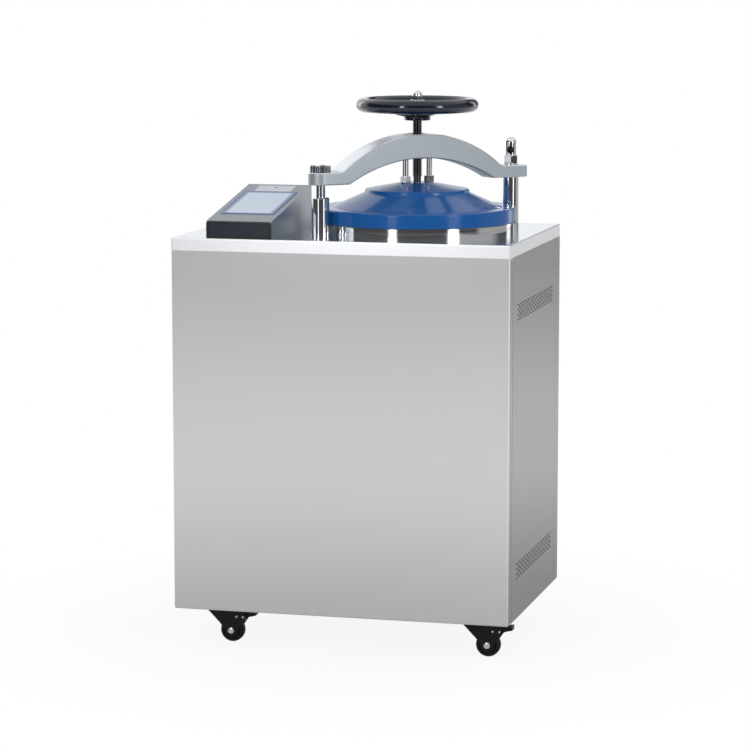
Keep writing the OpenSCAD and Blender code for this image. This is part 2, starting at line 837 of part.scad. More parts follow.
// Lid
module lid() {
    rim_r = lid_d / 2;
    seal_r = rim_r - seal_w;
    boss_z = hub_z - boss_h;
    color("royalblue") at_beam()
        difference() {
            rotate_extrude($fn = 180) difference() {
                union() {
                    polygon([[0, lid_z], [rim_r, lid_z], [rim_r, rim_z - rim_round],
                        [rim_r - rim_round, rim_z], [cone_r, rim_z], [step_r, cone_z],
                        [step_r, step_z], [hub_r, hub_z], [0, hub_z]]);
                    translate([rim_r - rim_round, rim_z - rim_round]) circle(r = rim_round, $fn = 48);
                }
                polygon([[0, lid_z - cut], [seal_r, lid_z - cut], [seal_r, rim_z - dome_t],
                    [step_r - dome_t, cone_z - dome_t], [hub_r + dome_t, step_z - dome_t / 2],
                    [hub_r, boss_z], [0, boss_z]]);
            }
            cylinder(d = journal_d + 2 * run, h = hub_z + cut);
            cylinder(r = pocket_r, h = boss_z + pocket_h);
            for (side = [-1, 1])
                translate([side * rod_r, 0, hub_z - guide_root]) cylinder(d = rod_d, h = guide_root + cut);
        }
}
module guide_rods() {
    rod_l = arch_top - guide_top - hub_z + guide_root;
    color("gainsboro") at_beam()
        for (side = [-1, 1])
            translate([side * rod_r, 0, hub_z - guide_root]) cylinder(d = rod_d, h = rod_l);
}
module guide_nuts() {
    color("silver") at_beam()
        for (side = [-1, 1])
            translate([side * rod_r, 0, hub_z]) rotate([0, 0, side < 0 ? nut_turn : 0])
                difference() {
                    hexagon(nut_af, nut_h);
                    translate([0, 0, -cut]) cylinder(d = rod_d + 2 * run, h = nut_h + 2 * cut);
                }
}
module thrust_bearings() {
    // One ring above and one plate below the flange at the foot of the screw
    ceiling_z = hub_z - boss_h + pocket_h;
    color("darkgoldenrod") at_beam() {
        translate([0, 0, ceiling_z - bearing_t]) ring(pocket_r - run, journal_d / 2 + run, bearing_t);
        translate([0, 0, ceiling_z - 3 * bearing_t]) cylinder(r = pocket_r - run, h = bearing_t - run);
    }
}

// Screw and handwheel
module lead_screw() {
    flange_z = hub_z - boss_h + pocket_h - 2 * bearing_t;
    nut_z = wheel_z + wheel_hub_h;
    color("dimgray") at_beam() union() {
        translate([0, 0, flange_z + run]) cylinder(r = flange_r, h = bearing_t - 2 * run);
        translate([0, 0, flange_z + run]) cylinder(d = journal_d, h = hub_z + nut_h - flange_z);
        translate([0, 0, hub_z + nut_h - cut]) cylinder(d = screw_d, h = wheel_z - hub_z - nut_h + cut);
        translate([0, 0, wheel_z - cut]) cylinder(d = wheel_bore_d, h = wheel_hub_h + cut);
        translate([0, 0, nut_z - cut]) cylinder(d = stud_d, h = washer_t + wheel_nut_h + stud_end + cut);
    }
}
// Side view of a spoke: it leaves the hub low and rises to the rim
spoke_rise_shares = [0, 0.1, 0.3, 0.6, 0.85, 1];
module spoke() {
    start = [neck_r - cut, spoke_root_z];
    end = [rim_mid_r, rim_rise];
    count = len(spoke_rise_shares) - 1;
    half = [spoke_root_t / 2, spoke_tip_t / 2];
    line = [for (i = [0:count]) [start[0] + (end[0] - start[0]) * i / count,
        start[1] + (end[1] - start[1]) * spoke_rise_shares[i]]];
    upper = [for (i = [0:count]) line[i] + [0, half[0] + (half[1] - half[0]) * i / count]];
    lower = [for (i = [count:-1:0]) line[i] - [0, half[0] + (half[1] - half[0]) * i / count]];
    translate([0, spoke_w / 2, 0]) rotate([90, 0, 0]) linear_extrude(spoke_w) polygon(concat(upper, lower));
}
module handwheel() {
    color("#1d2024") at_beam() translate([0, 0, wheel_z])
        difference() {
            union() {
                translate([0, 0, rim_rise]) rotate_extrude($fn = 180)
                    translate([rim_mid_r, 0]) circle(d = wheel_rim_d, $fn = 48);
                cylinder(d = wheel_foot_d, h = foot_t);
                cylinder(r = neck_r, h = wheel_hub_h);
                translate([0, 0, wheel_hub_h - foot_t]) cylinder(r = crown_r, h = foot_t);
                for (i = [0:spokes - 1]) rotate([0, 0, 45 + 360 * i / spokes]) spoke();
            }
            translate([0, 0, -cut]) cylinder(d = wheel_bore_d + 2 * run, h = wheel_hub_h + 2 * cut);
        }
}
module wheel_washer() {
    color("silver") at_beam() translate([0, 0, wheel_z + wheel_hub_h])
        ring(washer_r, stud_d / 2 + run, washer_t);
}
module wheel_nut() {
    nut_z = wheel_z + wheel_hub_h + washer_t;
    color("silver") at_beam() translate([0, 0, nut_z])
        difference() {
            union() {
                hexagon(nut_af, wheel_nut_h);
                translate([0, 0, wheel_nut_h]) sphere(r = wheel_nut_dome - run);
            }
            translate([0, 0, -cut])
                cylinder(d = stud_d + 2 * run, h = wheel_nut_h + stud_end + stud_room + cut);
            translate([0, 0, -2 * wheel_nut_dome]) cylinder(r = 2 * wheel_nut_dome, h = 2 * wheel_nut_dome);
        }
}

// Console
module at_console() {
    at_cabinet() translate([console_x, console_y, top_z]) children();
}
module at_slope() {
    at_console() translate([0, fascia_t, console_low]) rotate([console_lean, 0, 0]) children();
}
module wedge(shrink) {
    // The console's side view, drawn in from its outside by a wall
    low = console_low - shrink;
    high = console_high - shrink;
    translate([-console_w / 2 + shrink, 0, 0]) rotate([90, 0, 90]) linear_extrude(console_w - 2 * shrink)
        polygon([[fascia_t + shrink, 0], [fascia_t + shrink, low], [console_d - console_nose - shrink, high],
            [console_d - shrink, high - console_nose], [console_d - shrink, 0]]);
}
module console_body() {
    color("darkgray") difference() {
        at_console() difference() {
            wedge(0);
            translate([0, 0, -cut]) wedge(console_t);
        }
        at_slope() {
            translate([-bezel_w / 2 + 2 * bezel_t, bezel_start + 2 * bezel_t, -4 * console_t])
                cube([bezel_w - 4 * bezel_t, bezel_l - 4 * bezel_t, 8 * console_t]);
            translate([-strip_w / 2, bezel_start + bezel_l + strip_gap, -strip_t / 2])
                cube([strip_w, strip_l, console_t]);
        }
    }
}
module console_front() {
    color("#20242c") at_console() translate([0, fascia_t, 0]) rotate([90, 0, 0]) linear_extrude(fascia_t)
        intersection() {
            translate([-console_w / 2, 0]) square([console_w, console_low]);
            union() {
                translate([-console_w / 2, 0]) square([console_w, console_low - fascia_round]);
                translate([-console_w / 2 + fascia_round, 0])
                    square([console_w - 2 * fascia_round, console_low]);
                for (side = [-1, 1])
                    translate([side * (console_w / 2 - fascia_round), console_low - fascia_round])
                        circle(r = fascia_round, $fn = 48);
            }
        }
}
module screen_bezel() {
    lip = screen_margin;
    color("slategray") at_slope() translate([-bezel_w / 2, bezel_start, gap])
        difference() {
            cube([bezel_w, bezel_l, bezel_stand]);
            translate([lip, lip, -cut]) cube([bezel_w - 2 * lip, bezel_l - 2 * lip, bezel_stand + 2 * cut]);
        }
}
module touch_screen() {
    lip = screen_margin + run;
    color("aliceblue") at_slope() translate([-bezel_w / 2 + lip, bezel_start + lip, -bezel_t])
        cube([bezel_w - 2 * lip, bezel_l - 2 * lip, bezel_t + bezel_stand - screen_sink]);
}
module console_strip() {
    color("whitesmoke") at_slope()
        translate([-strip_w / 2 + run, bezel_start + bezel_l + strip_gap + run, -strip_t / 2 + run])
            cube([strip_w - 2 * run, strip_l - 2 * run, strip_t]);
}

// Casters
module at_caster(place) {
    at_cabinet() translate([place[0], place[1], 0]) children();
}
module caster_plates() {
    // Plate, upper ball race and swivel pin of each caster
    color("#222222")
        for (place = [front_left, front_right, rear_left, rear_right])
            at_caster(place) union() {
                translate([-plate_l / 2, -plate_w / 2, caster_h - plate_t]) cube([plate_l, plate_w, plate_t]);
                translate([0, 0, caster_h - plate_t - race_h]) cylinder(r = race_r, h = race_h);
                translate([0, 0, fork_top - fork_t - gap - pin_head_h])
                    cylinder(r = pin_r, h = caster_h - fork_top + fork_t + gap + pin_head_h);
                translate([0, 0, fork_top - fork_t - gap - pin_head_h])
                    cylinder(r = pin_head_r, h = pin_head_h);
            }
}
module cheek() {
    // Side view of a fork cheek: X from the swivel, Y up from the floor
    axle_z = caster_d / 2;
    difference() {
        union() {
            polygon([[-race_r, fork_top], [trail + pivot_dx + 2 * rivet_r, fork_top],
                [trail + pivot_dx + 2 * rivet_r, pivot_z - 2 * rivet_r], [trail + lobe_r, axle_z],
                [trail - lobe_r, axle_z], [trail - caster_d / 2 + cut, axle_z + lobe_r]]);
            translate([trail, axle_z]) circle(r = lobe_r);
        }
        translate([trail, axle_z]) circle(r = axle_r + run);
        translate([trail + pivot_dx, pivot_z]) circle(r = rivet_r + run);
    }
}
module fork(place, braked) {
    top_l = race_r + trail + pivot_dx + 2 * rivet_r;
    color("#1b1c1e") at_caster(place) union() {
        for (y = [-fork_y - fork_t, fork_y])
            translate([0, y + fork_t, 0]) rotate([90, 0, 0]) linear_extrude(fork_t) cheek();
        difference() {
            translate([-race_r, -fork_y - cut / 2, fork_top - fork_t])
                cube([braked ? race_r + trail + rivet_dx : top_l, 2 * fork_y + cut, fork_t]);
            translate([0, 0, fork_top - 2 * fork_t]) cylinder(r = pin_r + run, h = 3 * fork_t);
        }
    }
}
module axle(place) {
    length = 2 * (fork_y + fork_t);
    color("silver") at_caster(place) translate([trail, 0, caster_d / 2]) rotate([90, 0, 0]) union() {
        cylinder(r = axle_r, h = length + 2 * axle_head_h, center = true);
        for (side = [-1, 1])
            translate([0, 0, side * (length / 2 + axle_head_h / 2)])
                cylinder(r = axle_head_r, h = axle_head_h, center = true);
    }
}
module caster_wheel(place) {
    edge = tread_edge;
    hub_w = tread_w + 2 * cheek_gap - 2 * gap;
    color("#26272a") at_caster(place) translate([trail, 0, caster_d / 2]) rotate([90, 0, 0])
        rotate_extrude() difference() {
            union() {
                polygon([[axle_r + run, -tread_w / 2], [caster_d / 2 - edge, -tread_w / 2],
                    [caster_d / 2, -tread_w / 2 + edge], [caster_d / 2, tread_w / 2 - edge],
                    [caster_d / 2 - edge, tread_w / 2], [axle_r + run, tread_w / 2]]);
                translate([axle_r + run, -hub_w / 2]) square([2 * edge, hub_w]);
            }
            for (side = [-1, 1])
                translate([caster_d / 4 + edge, side * tread_w / 2]) circle(r = edge, $fn = 24);
        }
}
module pedal(place) {
    // A stamped lever on a cross pin: its toe stands out past the fork, and its cam points at the tread
    toe_l = pedal_reach - pivot_dx;
    color("#1b1c1e") at_caster(place) translate([trail + pivot_dx, 0, pivot_z]) union() {
        translate([0, pedal_w / 2, 0]) rotate([90, 0, 0]) linear_extrude(pedal_w) union() {
            polygon([[0, cam_w / 2], [toe_l / 2, toe_z + pedal_t - cut], [toe_l, toe_z + pedal_t],
                [toe_l, toe_z], [toe_l / 2, 0], [cam_w / 2, -cam_w / 2], [0, -cam_w / 2]]);
            circle(d = cam_w, $fn = 32);
            rotate(-cam_lead) translate([-cam_w / 2, cam_w / 2 - cam_l]) square([cam_w, cam_l - cam_w / 2]);
            rotate(-cam_lead) translate([0, cam_w / 2 - cam_l]) circle(d = cam_w, $fn = 32);
        }
        rotate([90, 0, 0]) cylinder(r = rivet_r, h = 2 * (fork_y + fork_t) + cut, center = true);
    }
}
module fork_front_left() { fork(front_left, true); }
module axle_front_left() { axle(front_left); }
module wheel_front_left() { caster_wheel(front_left); }
module pedal_front_left() { pedal(front_left); }
module fork_front_right() { fork(front_right, true); }
module axle_front_right() { axle(front_right); }
module wheel_front_right() { caster_wheel(front_right); }
module pedal_front_right() { pedal(front_right); }
module fork_rear_left() { fork(rear_left, false); }
module axle_rear_left() { axle(rear_left); }
module wheel_rear_left() { caster_wheel(rear_left); }
module fork_rear_right() { fork(rear_right, false); }
module axle_rear_right() { axle(rear_right); }
module wheel_rear_right() { caster_wheel(rear_right); }

// Services
module drain_pipe() {
    // From the dished floor of the vessel down, then back to the valve
    low_z = floor_z - dish_depth - vessel_t + top_z;
    color("silver") at_cabinet() difference() {
        union() {
            translate([drain_x, 0, drain_z]) cylinder(r = pipe_r, h = low_z - drain_z + vessel_t / 2);
            translate([drain_x, 0, drain_z]) sphere(r = pipe_r);
            translate([drain_x, 0, drain_z]) rotate([-90, 0, 0]) cylinder(r = pipe_r, h = rear_y);
        }
        translate([drain_x, 0, drain_z]) cylinder(r = pipe_r - pipe_wall, h = low_z - drain_z + vessel_t);
        translate([drain_x, 0, drain_z]) sphere(r = pipe_r - pipe_wall);
        translate([drain_x, 0, drain_z]) rotate([-90, 0, 0])
            cylinder(r = pipe_r - pipe_wall, h = rear_y + cut);
    }
}
module drain_valve() {
    // A ball valve body with hexagon ends, a bonnet for the lever and a plain hose tail
    hex_l = valve_l / 4;
    color("goldenrod") at_cabinet() translate([drain_x, rear_y, drain_z]) difference() {
        union() {
            rotate([-90, 0, 0]) cylinder(r = valve_r * valve_body_share, h = valve_l);
            for (y = [0, valve_l - hex_l])
                translate([0, y, 0]) rotate([-90, 0, 0]) hexagon(2 * valve_r, hex_l);
            translate([0, valve_l / 2, 0]) cylinder(r = valve_r / 2, h = valve_r + hex_l);
            rotate([-90, 0, 0]) cylinder(d = tail_d, h = valve_l + tail_l);
        }
        translate([0, -cut, 0]) rotate([-90, 0, 0])
            cylinder(r = pipe_r - pipe_wall, h = valve_l + tail_l + 2 * cut);
        translate([0, valve_l / 2, valve_r]) cylinder(r = valve_r / 4 + run, h = hex_l + cut);
    }
}
module drain_lever() {
    stem_z = valve_r + valve_l / 4;
    color("firebrick") at_cabinet() translate([drain_x, rear_y + valve_l / 2, drain_z]) union() {
        translate([0, 0, valve_r + run]) cylinder(r = valve_r / 4, h = stem_z - valve_r + lever_t);
        translate([0, 0, stem_z + gap]) cylinder(d = lever_w, h = lever_t);
        translate([0, -lever_w / 2, stem_z + gap]) cube([lever_l, lever_w, lever_t]);
    }
}
module steam_pipe() {
    // From the side of the vessel out to the safety valve, then back to the exhaust tail
    start_x = vessel_x - vessel_r;
    bore_r = steam_r - pipe_wall;
    color("silver") at_cabinet() difference() {
        union() {
            translate([steam_x, 0, steam_z]) rotate([0, 90, 0]) cylinder(r = steam_r, h = start_x - steam_x);
            translate([steam_x, 0, steam_z]) sphere(r = steam_r);
            translate([steam_x, 0, steam_z]) rotate([-90, 0, 0]) cylinder(r = steam_r, h = rear_y);
            translate([steam_x, rear_y, steam_z]) rotate([-90, 0, 0])
                cylinder(r = steam_r + pipe_wall, h = exhaust_l);
            translate([steam_x, 0, steam_z]) cylinder(r = steam_r, h = steam_r + seat_h);
        }
        translate([steam_x, 0, steam_z]) cylinder(r = tap_r + run, h = steam_r + seat_h + cut);
        translate([steam_x, 0, steam_z]) rotate([0, 90, 0]) cylinder(r = bore_r, h = start_x - steam_x + cut);
        translate([steam_x, 0, steam_z]) sphere(r = bore_r);
        translate([steam_x, 0, steam_z]) rotate([-90, 0, 0])
            cylinder(r = bore_r, h = rear_y + exhaust_l + cut);
    }
}
module safety_valve() {
    // A spring valve: threaded foot, hexagon, bonnet and test pin
    color("goldenrod") at_cabinet() translate([steam_x, 0, steam_z + steam_r + seat_h]) union() {
        translate([0, 0, -seat_h]) cylinder(r = tap_r, h = seat_h + cut);
        hexagon(valve_af, valve_base_h);
        translate([0, 0, valve_base_h]) cylinder(r = bonnet_r, h = bonnet_h);
        translate([0, 0, valve_base_h + bonnet_h]) cylinder(r = steam_r, h = valve_base_h);
    }
}
module mains_gland() {
    // A cable gland: thread through the panel, hexagon, dome nut
    color("#2a2a2a") at_cabinet() translate([gland_x, rear_y, drain_z]) rotate([-90, 0, 0]) difference() {
        union() {
            translate([0, 0, -gland_thread_l])
                cylinder(r = gland_r * gland_thread_share, h = gland_thread_l + cut);
            hexagon(2 * gland_r, gland_l / 3);
            cylinder(r = gland_r * gland_dome_share, h = gland_l);
        }
        translate([0, 0, -gland_thread_l - cut])
            cylinder(r = gland_r / 2, h = gland_l + gland_thread_l + 2 * cut);
    }
}
module switch_frame() {
    wall = switch_wall;
    depth = switch_depth;
    color("#1c1c1e") at_cabinet() translate([gland_x, rear_y, switch_z]) difference() {
        union() {
            translate([0, -depth / 2, 0]) cube([switch_w, depth, switch_h], center = true);
            translate([0, wall / 2, 0]) cube([switch_w + 2 * wall, wall, switch_h + 2 * wall], center = true);
        }
        translate([0, wall, 0])
            cube([switch_w - 2 * wall, 2 * depth - 2 * wall, switch_h - 2 * wall], center = true);
        rotate([0, 90, 0]) cylinder(r = rocker_pin_r + run, h = switch_w - wall, center = true);
    }
}
module power_rocker() {
    // A rocker that tips on a level pin across the switch
    wall = switch_wall;
    rocker_h = switch_h - 2 * wall - 2 * rocker_play;
    rocker_w = switch_w - 2 * wall - rocker_play;
    color("crimson") at_cabinet() translate([gland_x, rear_y, switch_z]) union() {
        translate([-rocker_w / 2, 0, 0]) rotate([90, 0, 90]) linear_extrude(rocker_w)
            polygon([[-wall, -rocker_h / 2 + wall], [wall, -rocker_h / 2 + wall / 2], [wall / 2, 0],
                [wall + wall, rocker_h / 2 - wall], [-wall, rocker_h / 2 - wall]]);
        rotate([0, 90, 0]) cylinder(r = rocker_pin_r, h = switch_w - wall - 2 * run, center = true);
    }
}

frame();
base_plate();
front_panel();
left_panel();
right_panel();
rear_panel();
top_plate();
vessel();
vessel_flange();
lid_gasket();
insulation();
heating_elements();
basket_rack();
lower_basket();
upper_basket();
closure_yoke();
hinge_sleeve();
latch_post();
console_body();
console_front();
screen_bezel();
touch_screen();
console_strip();
caster_plates();
drain_valve();
drain_pipe();
safety_valve();
steam_pipe();
mains_gland();
switch_frame();
power_rocker();
drain_lever();
latch_washer();
tie_nut();
beam();
hinge_shaft();
hinge_bolts();
lead_nut();
lid();
guide_rods();
guide_nuts();
thrust_bearings();
lead_screw();
handwheel();
wheel_washer();
wheel_nut();
fork_front_left();
axle_front_left();
wheel_front_left();
pedal_front_left();
fork_front_right();
axle_front_right();
wheel_front_right();
pedal_front_right();
fork_rear_left();
axle_rear_left();
wheel_rear_left();
fork_rear_right();
axle_rear_right();
wheel_rear_right();
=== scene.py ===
# %% [markdown]
# # A vertical steam steriliser
# A round pressure vessel stands in a brushed steel cabinet on four casters. The lid hangs from an
# arched beam, and a handwheel with a screw lifts it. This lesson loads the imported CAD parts, keeps
# their places, and gives every part the rounded edges and the finish that a workshop would give it.
# The CAD parts could be rendered as they are, but their edges are sharp and their metal is plain.

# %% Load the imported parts
import json
import math

import bmesh
import bpy
from mathutils import Matrix, Vector

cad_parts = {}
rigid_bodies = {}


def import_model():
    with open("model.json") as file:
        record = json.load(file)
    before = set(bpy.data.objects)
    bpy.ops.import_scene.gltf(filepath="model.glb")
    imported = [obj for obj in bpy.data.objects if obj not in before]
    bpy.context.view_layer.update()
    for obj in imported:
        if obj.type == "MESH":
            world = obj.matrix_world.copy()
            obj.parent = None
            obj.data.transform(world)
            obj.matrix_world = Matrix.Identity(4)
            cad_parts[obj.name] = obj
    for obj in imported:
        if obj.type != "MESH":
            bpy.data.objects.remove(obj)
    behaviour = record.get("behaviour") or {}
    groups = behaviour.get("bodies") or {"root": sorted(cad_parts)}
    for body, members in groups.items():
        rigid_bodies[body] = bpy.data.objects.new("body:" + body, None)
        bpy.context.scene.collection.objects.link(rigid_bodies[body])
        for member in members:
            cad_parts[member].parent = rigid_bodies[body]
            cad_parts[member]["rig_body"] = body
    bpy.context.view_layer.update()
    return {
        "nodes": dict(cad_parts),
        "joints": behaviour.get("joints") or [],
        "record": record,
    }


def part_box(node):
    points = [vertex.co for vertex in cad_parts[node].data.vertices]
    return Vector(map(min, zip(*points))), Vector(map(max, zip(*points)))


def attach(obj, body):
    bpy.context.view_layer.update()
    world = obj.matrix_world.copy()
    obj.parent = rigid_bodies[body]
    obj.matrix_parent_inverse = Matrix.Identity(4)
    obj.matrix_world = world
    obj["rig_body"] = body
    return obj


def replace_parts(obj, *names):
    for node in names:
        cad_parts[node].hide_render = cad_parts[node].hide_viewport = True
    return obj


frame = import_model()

mm = 0.001
SLOT_OF = {row["node"]: row["material_slot"] for row in frame["record"]["subparts"]}
JOINTS = {joint["name"]: joint for joint in frame["joints"]}

# %% [markdown]
# ## The four places that everything is measured from
# The handwheel's joint lies on the vessel axis, and the joints of the beam and the tie nut lie on
# the two posts. Typed coordinates would also do, but reading them from the joints keeps the looks
# on the parts when the CAD changes. Heights count from the top of the cabinet's top plate.

# %% Places
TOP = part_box("top_plate")[1].z


def post_at(joint):
    """A joint's place, at the height of the top plate."""
    x, y, _ = JOINTS[joint]["pos_m"]
    return Vector((x, y, TOP))


VESSEL, HINGE, LATCH = (post_at(name) for name in ("wheel_turn", "beam_swing", "tie_turn"))
BEAM_TURN = math.atan2(LATCH.y - HINGE.y, LATCH.x - HINGE.x)
ALONG_BEAM = Matrix.Rotation(BEAM_TURN, 4, "Z")
AT_VESSEL = Matrix.Translation(VESSEL) @ ALONG_BEAM
AT_HINGE = Matrix.Translation(HINGE) @ ALONG_BEAM
AT_LATCH = Matrix.Translation(LATCH) @ ALONG_BEAM
POST_R = (LATCH - HINGE).length / 2
print("beam turned by", round(math.degrees(BEAM_TURN), 1), "posts at", round(POST_R / mm, 1), "mm")

# %% [markdown]
# ## The camera
# The photograph was taken from a little right of the front, slightly above the lid, with a long
# lens. The camera's place was found by matching known corners of the machine. The photograph's
# upright edges are parallel, which a level camera with a shifted lens would give exactly. But a
# shifted lens moves the machine out of every other view, so this camera is tilted a little instead.

# %% Camera
camera = bpy.data.objects.new("camera", bpy.data.cameras.new("camera"))
bpy.context.scene.collection.objects.link(camera)
camera.data.sensor_width = 36
camera.data.lens = 145.14
camera.location = (1.5904, -6.0602, 1.4183)
looks_down, looks_left = 0.1403, 0.2563
camera.rotation_euler = (math.pi / 2 - looks_down, 0, looks_left)
camera.data.clip_end = 100
bpy.context.scene.camera = camera
bpy.context.scene.view_settings.view_transform = "Standard"
print("camera", tuple(round(v, 3) for v in camera.location))

# %% [markdown]
# ## Shader sums that read like sums
# A finish is a small tree of nodes. Building it by hand in the shader editor works, but a script
# is easier to read when a socket can be added and multiplied like a number. The class below wraps
# one socket, and the finish class has one method that adds any node.


# %% Wire and Finish
class Wire:
    """A shader socket that takes part in sums like a number."""

    def __init__(self, finish, socket):
        self.finish = finish
        self.socket = socket

    def math(self, operation, *values):
        """One Math node on these values."""
        return self.finish.node("Math", {"operation": operation}, dict(enumerate(values)))

    def __add__(self, other):
        return self.math("ADD", self, other)

    def __sub__(self, other):
        return self.math("SUBTRACT", self, other)

    def __rsub__(self, other):
        return self.math("SUBTRACT", other, self)

    def __mul__(self, other):
        return self.math("MULTIPLY", self, other)

    def __pow__(self, other):
        return self.math("POWER", self, other)

    def __rpow__(self, other):
        return self.math("POWER", other, self)

    __radd__ = __add__
    __rmul__ = __mul__

    def between(self, low, high):
        """0 below low, 1 above high, and a soft step from one to the other."""
        return self.finish.node("MapRange", {"interpolation_type": "SMOOTHSTEP"},
                                {"Value": self, "From Min": low, "From Max": high})


class Finish:
    """The node tree of one material, or of the world."""

    def __init__(self, holder):
        holder.use_nodes = True
        self.holder = holder
        self.tree = holder.node_tree

    def node(self, kind, settings=None, sockets=None, output=0):
        """Adds any node: its settings first, then the values or links of its sockets."""
        made = self.tree.nodes.new("ShaderNode" + kind)
        for name, value in (settings or {}).items():
            setattr(made, name, value)
        for name, value in (sockets or {}).items():
            if isinstance(value, Wire):
                self.tree.links.new(value.socket, made.inputs[name])
            else:
                made.inputs[name].default_value = value
        return Wire(self, made.outputs[output] if made.outputs else None)

    def mix(self, factor, first, second):
        """One colour blended into another."""
        return self.node("Mix", {"data_type": "RGBA"}, {0: factor, 6: first, 7: second}, 2)

    def spot(self):
        """The place on the object, in metres."""
        return self.node("TexCoord", output="Object")

    def grain(self, per_metre, detail=2.0, start=None):
        """Noise with its own count of grains per metre along X, Y and Z."""
        place = self.node("VectorMath", {"operation": "MULTIPLY"},
                          {0: start or self.spot(), 1: per_metre})
        return self.node("TexNoise", None, {"Vector": place, "Scale": 1.0, "Detail": detail})

    def rings(self, centre, per_metre):
        """Noise in rings about an upright axis, as a turning tool leaves it."""
        off = self.node("VectorMath", {"operation": "SUBTRACT"}, {0: self.spot(), 1: tuple(centre)})
        x, y, z = (self.node("SeparateXYZ", None, {0: off}, i) for i in range(3))
        radius = (x * x + y * y) ** 0.5
        drift = x * 0.002  # lets a ring change a little on its way round
        line = self.node("CombineXYZ", None, {0: radius, 1: z, 2: drift})
        return self.grain((per_metre,) * 3, 2.0, line)

    def bump(self, height, depth):
        """A normal from a height of 0 to 1 that stands for a depth in metres."""
        return self.node("Bump", None, {"Height": height, "Distance": depth, "Strength": 1.0})


def finish(name, colour, rough, metallic=0.0, **extra):
    """A material with its steady values set on the shader's own sockets."""
    made = Finish(bpy.data.materials.new(name))
    shader = made.tree.nodes["Principled BSDF"]
    made.shader = shader
    made.colour = (*colour, 1.0)
    shader.inputs["Base Color"].default_value = made.colour
    shader.inputs["Roughness"].default_value = rough
    shader.inputs["Metallic"].default_value = metallic
    for socket, value in extra.items():
        shader.inputs[socket.replace("_", " ")].default_value = value
    return made


def wear(made, noise, rough, rough_spread, tint_spread, depth=0.0):
    """Feeds one noise into the colour, the roughness and, if it has a depth, the surface."""
    links = made.tree.links.new
    dark = (*(c * (1 - tint_spread) for c in made.colour[:3]), 1.0)
    light = (*(min(1.0, c * (1 + tint_spread)) for c in made.colour[:3]), 1.0)
    links(made.mix(noise, dark, light).socket, made.shader.inputs["Base Color"])
    uneven = noise * (2 * rough_spread) + (rough - rough_spread)
    links(uneven.socket, made.shader.inputs["Roughness"])
    if depth:
        links(made.bump(noise, depth).socket, made.shader.inputs["Normal"])
    return made.holder


print("shader classes ready")

# %% [markdown]
# ## The finishes
# Most of this machine is stainless steel, and what tells one part from the next is how it was
# worked: sheet is brushed in one direction, turned parts carry fine rings, the beam is cast and
# blasted, the lid is sprayed with blue enamel. One brushed texture for everything would be quicker,
# but then a cast part and a rolled one look the same. So each family has its own noise. After the
# colour and the roughness, a family takes its grains per metre, or the axis of a turned part, then
# how far the roughness and the tint vary, and how deep the grains are in metres. The panels are
# only half metallic, because fine grit scatters much of the light, and their reflections are
# stretched across the brushing.


# %% Families of finishes
def brushed(name, colour, rough, per_metre=(900, 900, 5), spread=0.03, tint=0.025,
            depth=0.000002, metallic=1.0, **extra):
    """Sheet steel, brushed along the direction with the few grains."""
    made = finish(name, colour, rough, metallic, **extra)
    fine = made.grain(per_metre, 3.0)
    cloudy = made.grain((4, 4, 2.5), 2.0)
    return wear(made, fine * 0.7 + cloudy * 0.3, rough, spread, tint, depth)


def turned_steel(name, colour, rough, centre, spread=0.03, tint=0.04, depth=0.000001):
    """Steel with the fine rings of a lathe about one axis."""
    made = finish(name, colour, rough, 1.0)
    return wear(made, made.rings(centre, 1400), rough, spread, tint, depth)


def plain_metal(name, colour, rough, grains=300, spread=0.06, tint=0.08, depth=0.00001):
    """Metal with an even, direction-free texture, such as a casting or a plated bolt."""
    made = finish(name, colour, rough, 1.0)
    return wear(made, made.grain((grains,) * 3, 3.0), rough, spread, tint, depth)


def moulded(name, colour, rough, grains=1200, spread=0.05, tint=0.12, depth=0.00001, **extra):
    """Moulded plastic, rubber, paint or enamel."""
    made = finish(name, colour, rough, 0.0, **extra)
    return wear(made, made.grain((grains,) * 3, 2.0), rough, spread, tint, depth)


print("families ready")

# %% Sheet steel
panel_steel = brushed("panel_steel", (0.645, 0.642, 0.638), 0.23, spread=0.01, tint=0.012,
                      depth=0.0, metallic=0.45, Anisotropic=0.8)
# The sides are the same brushed sheet as the front, made darker as painted shade.
shaded_side_steel = brushed("shaded_side_steel", (0.37, 0.37, 0.37), 0.27, spread=0.01, tint=0.02,
                     depth=0.0, metallic=0.5, Anisotropic=0.8)
along_x = (6, 500, 500)
plate_steel = brushed("plate_steel", (0.95, 0.96, 0.98), 0.36, along_x, tint=0.02)
polished_steel = brushed("polished_steel", (0.84, 0.86, 0.88), 0.17, along_x, tint=0.02)
vessel_steel = brushed("vessel_steel_finish", (0.72, 0.72, 0.72), 0.3, (300, 300, 300))
console_metal = brushed("console_metal_finish", (0.58, 0.62, 0.67), 0.34, (500, 8, 500))
basket_steel = brushed("basket_steel_finish", (0.70, 0.70, 0.71), 0.24, (400, 400, 20))
print("front", panel_steel.name, "sides", shaded_side_steel.name)

# %% Turned, cast and plated metal
chrome = (0.82, 0.83, 0.85)
ring_steel = turned_steel("ring_steel", (0.76, 0.76, 0.76), 0.08, VESSEL)
latch_steel = turned_steel("latch_steel", chrome, 0.07, LATCH)
hinge_steel = turned_steel("hinge_steel", chrome, 0.07, HINGE)
rod_steel = plain_metal("rod_steel", (0.84, 0.85, 0.87), 0.10, 900, 0.03, 0.04, 0.000003)
screw_steel = plain_metal("screw_steel_finish", (0.11, 0.115, 0.13), 0.14, 700)
cast_steel = plain_metal("cast_steel", (0.47, 0.515, 0.55), 0.45, 420, 0.09, 0.20, 0.0003)
# The paler colour for the beam's upward faces is painted light from above.
lit_top_steel = plain_metal("lit_top_steel", (0.86, 0.90, 0.94), 0.30, 420, 0.05, 0.05, 0.00005)
# A dark finish for the inside of the bar hole, which is painted shade.
shaded_bore_steel = plain_metal("shaded_bore_steel", (0.10, 0.10, 0.11), 0.5, 500)
raw_steel = plain_metal("raw_steel_finish", (0.26, 0.27, 0.28), 0.55, 500)
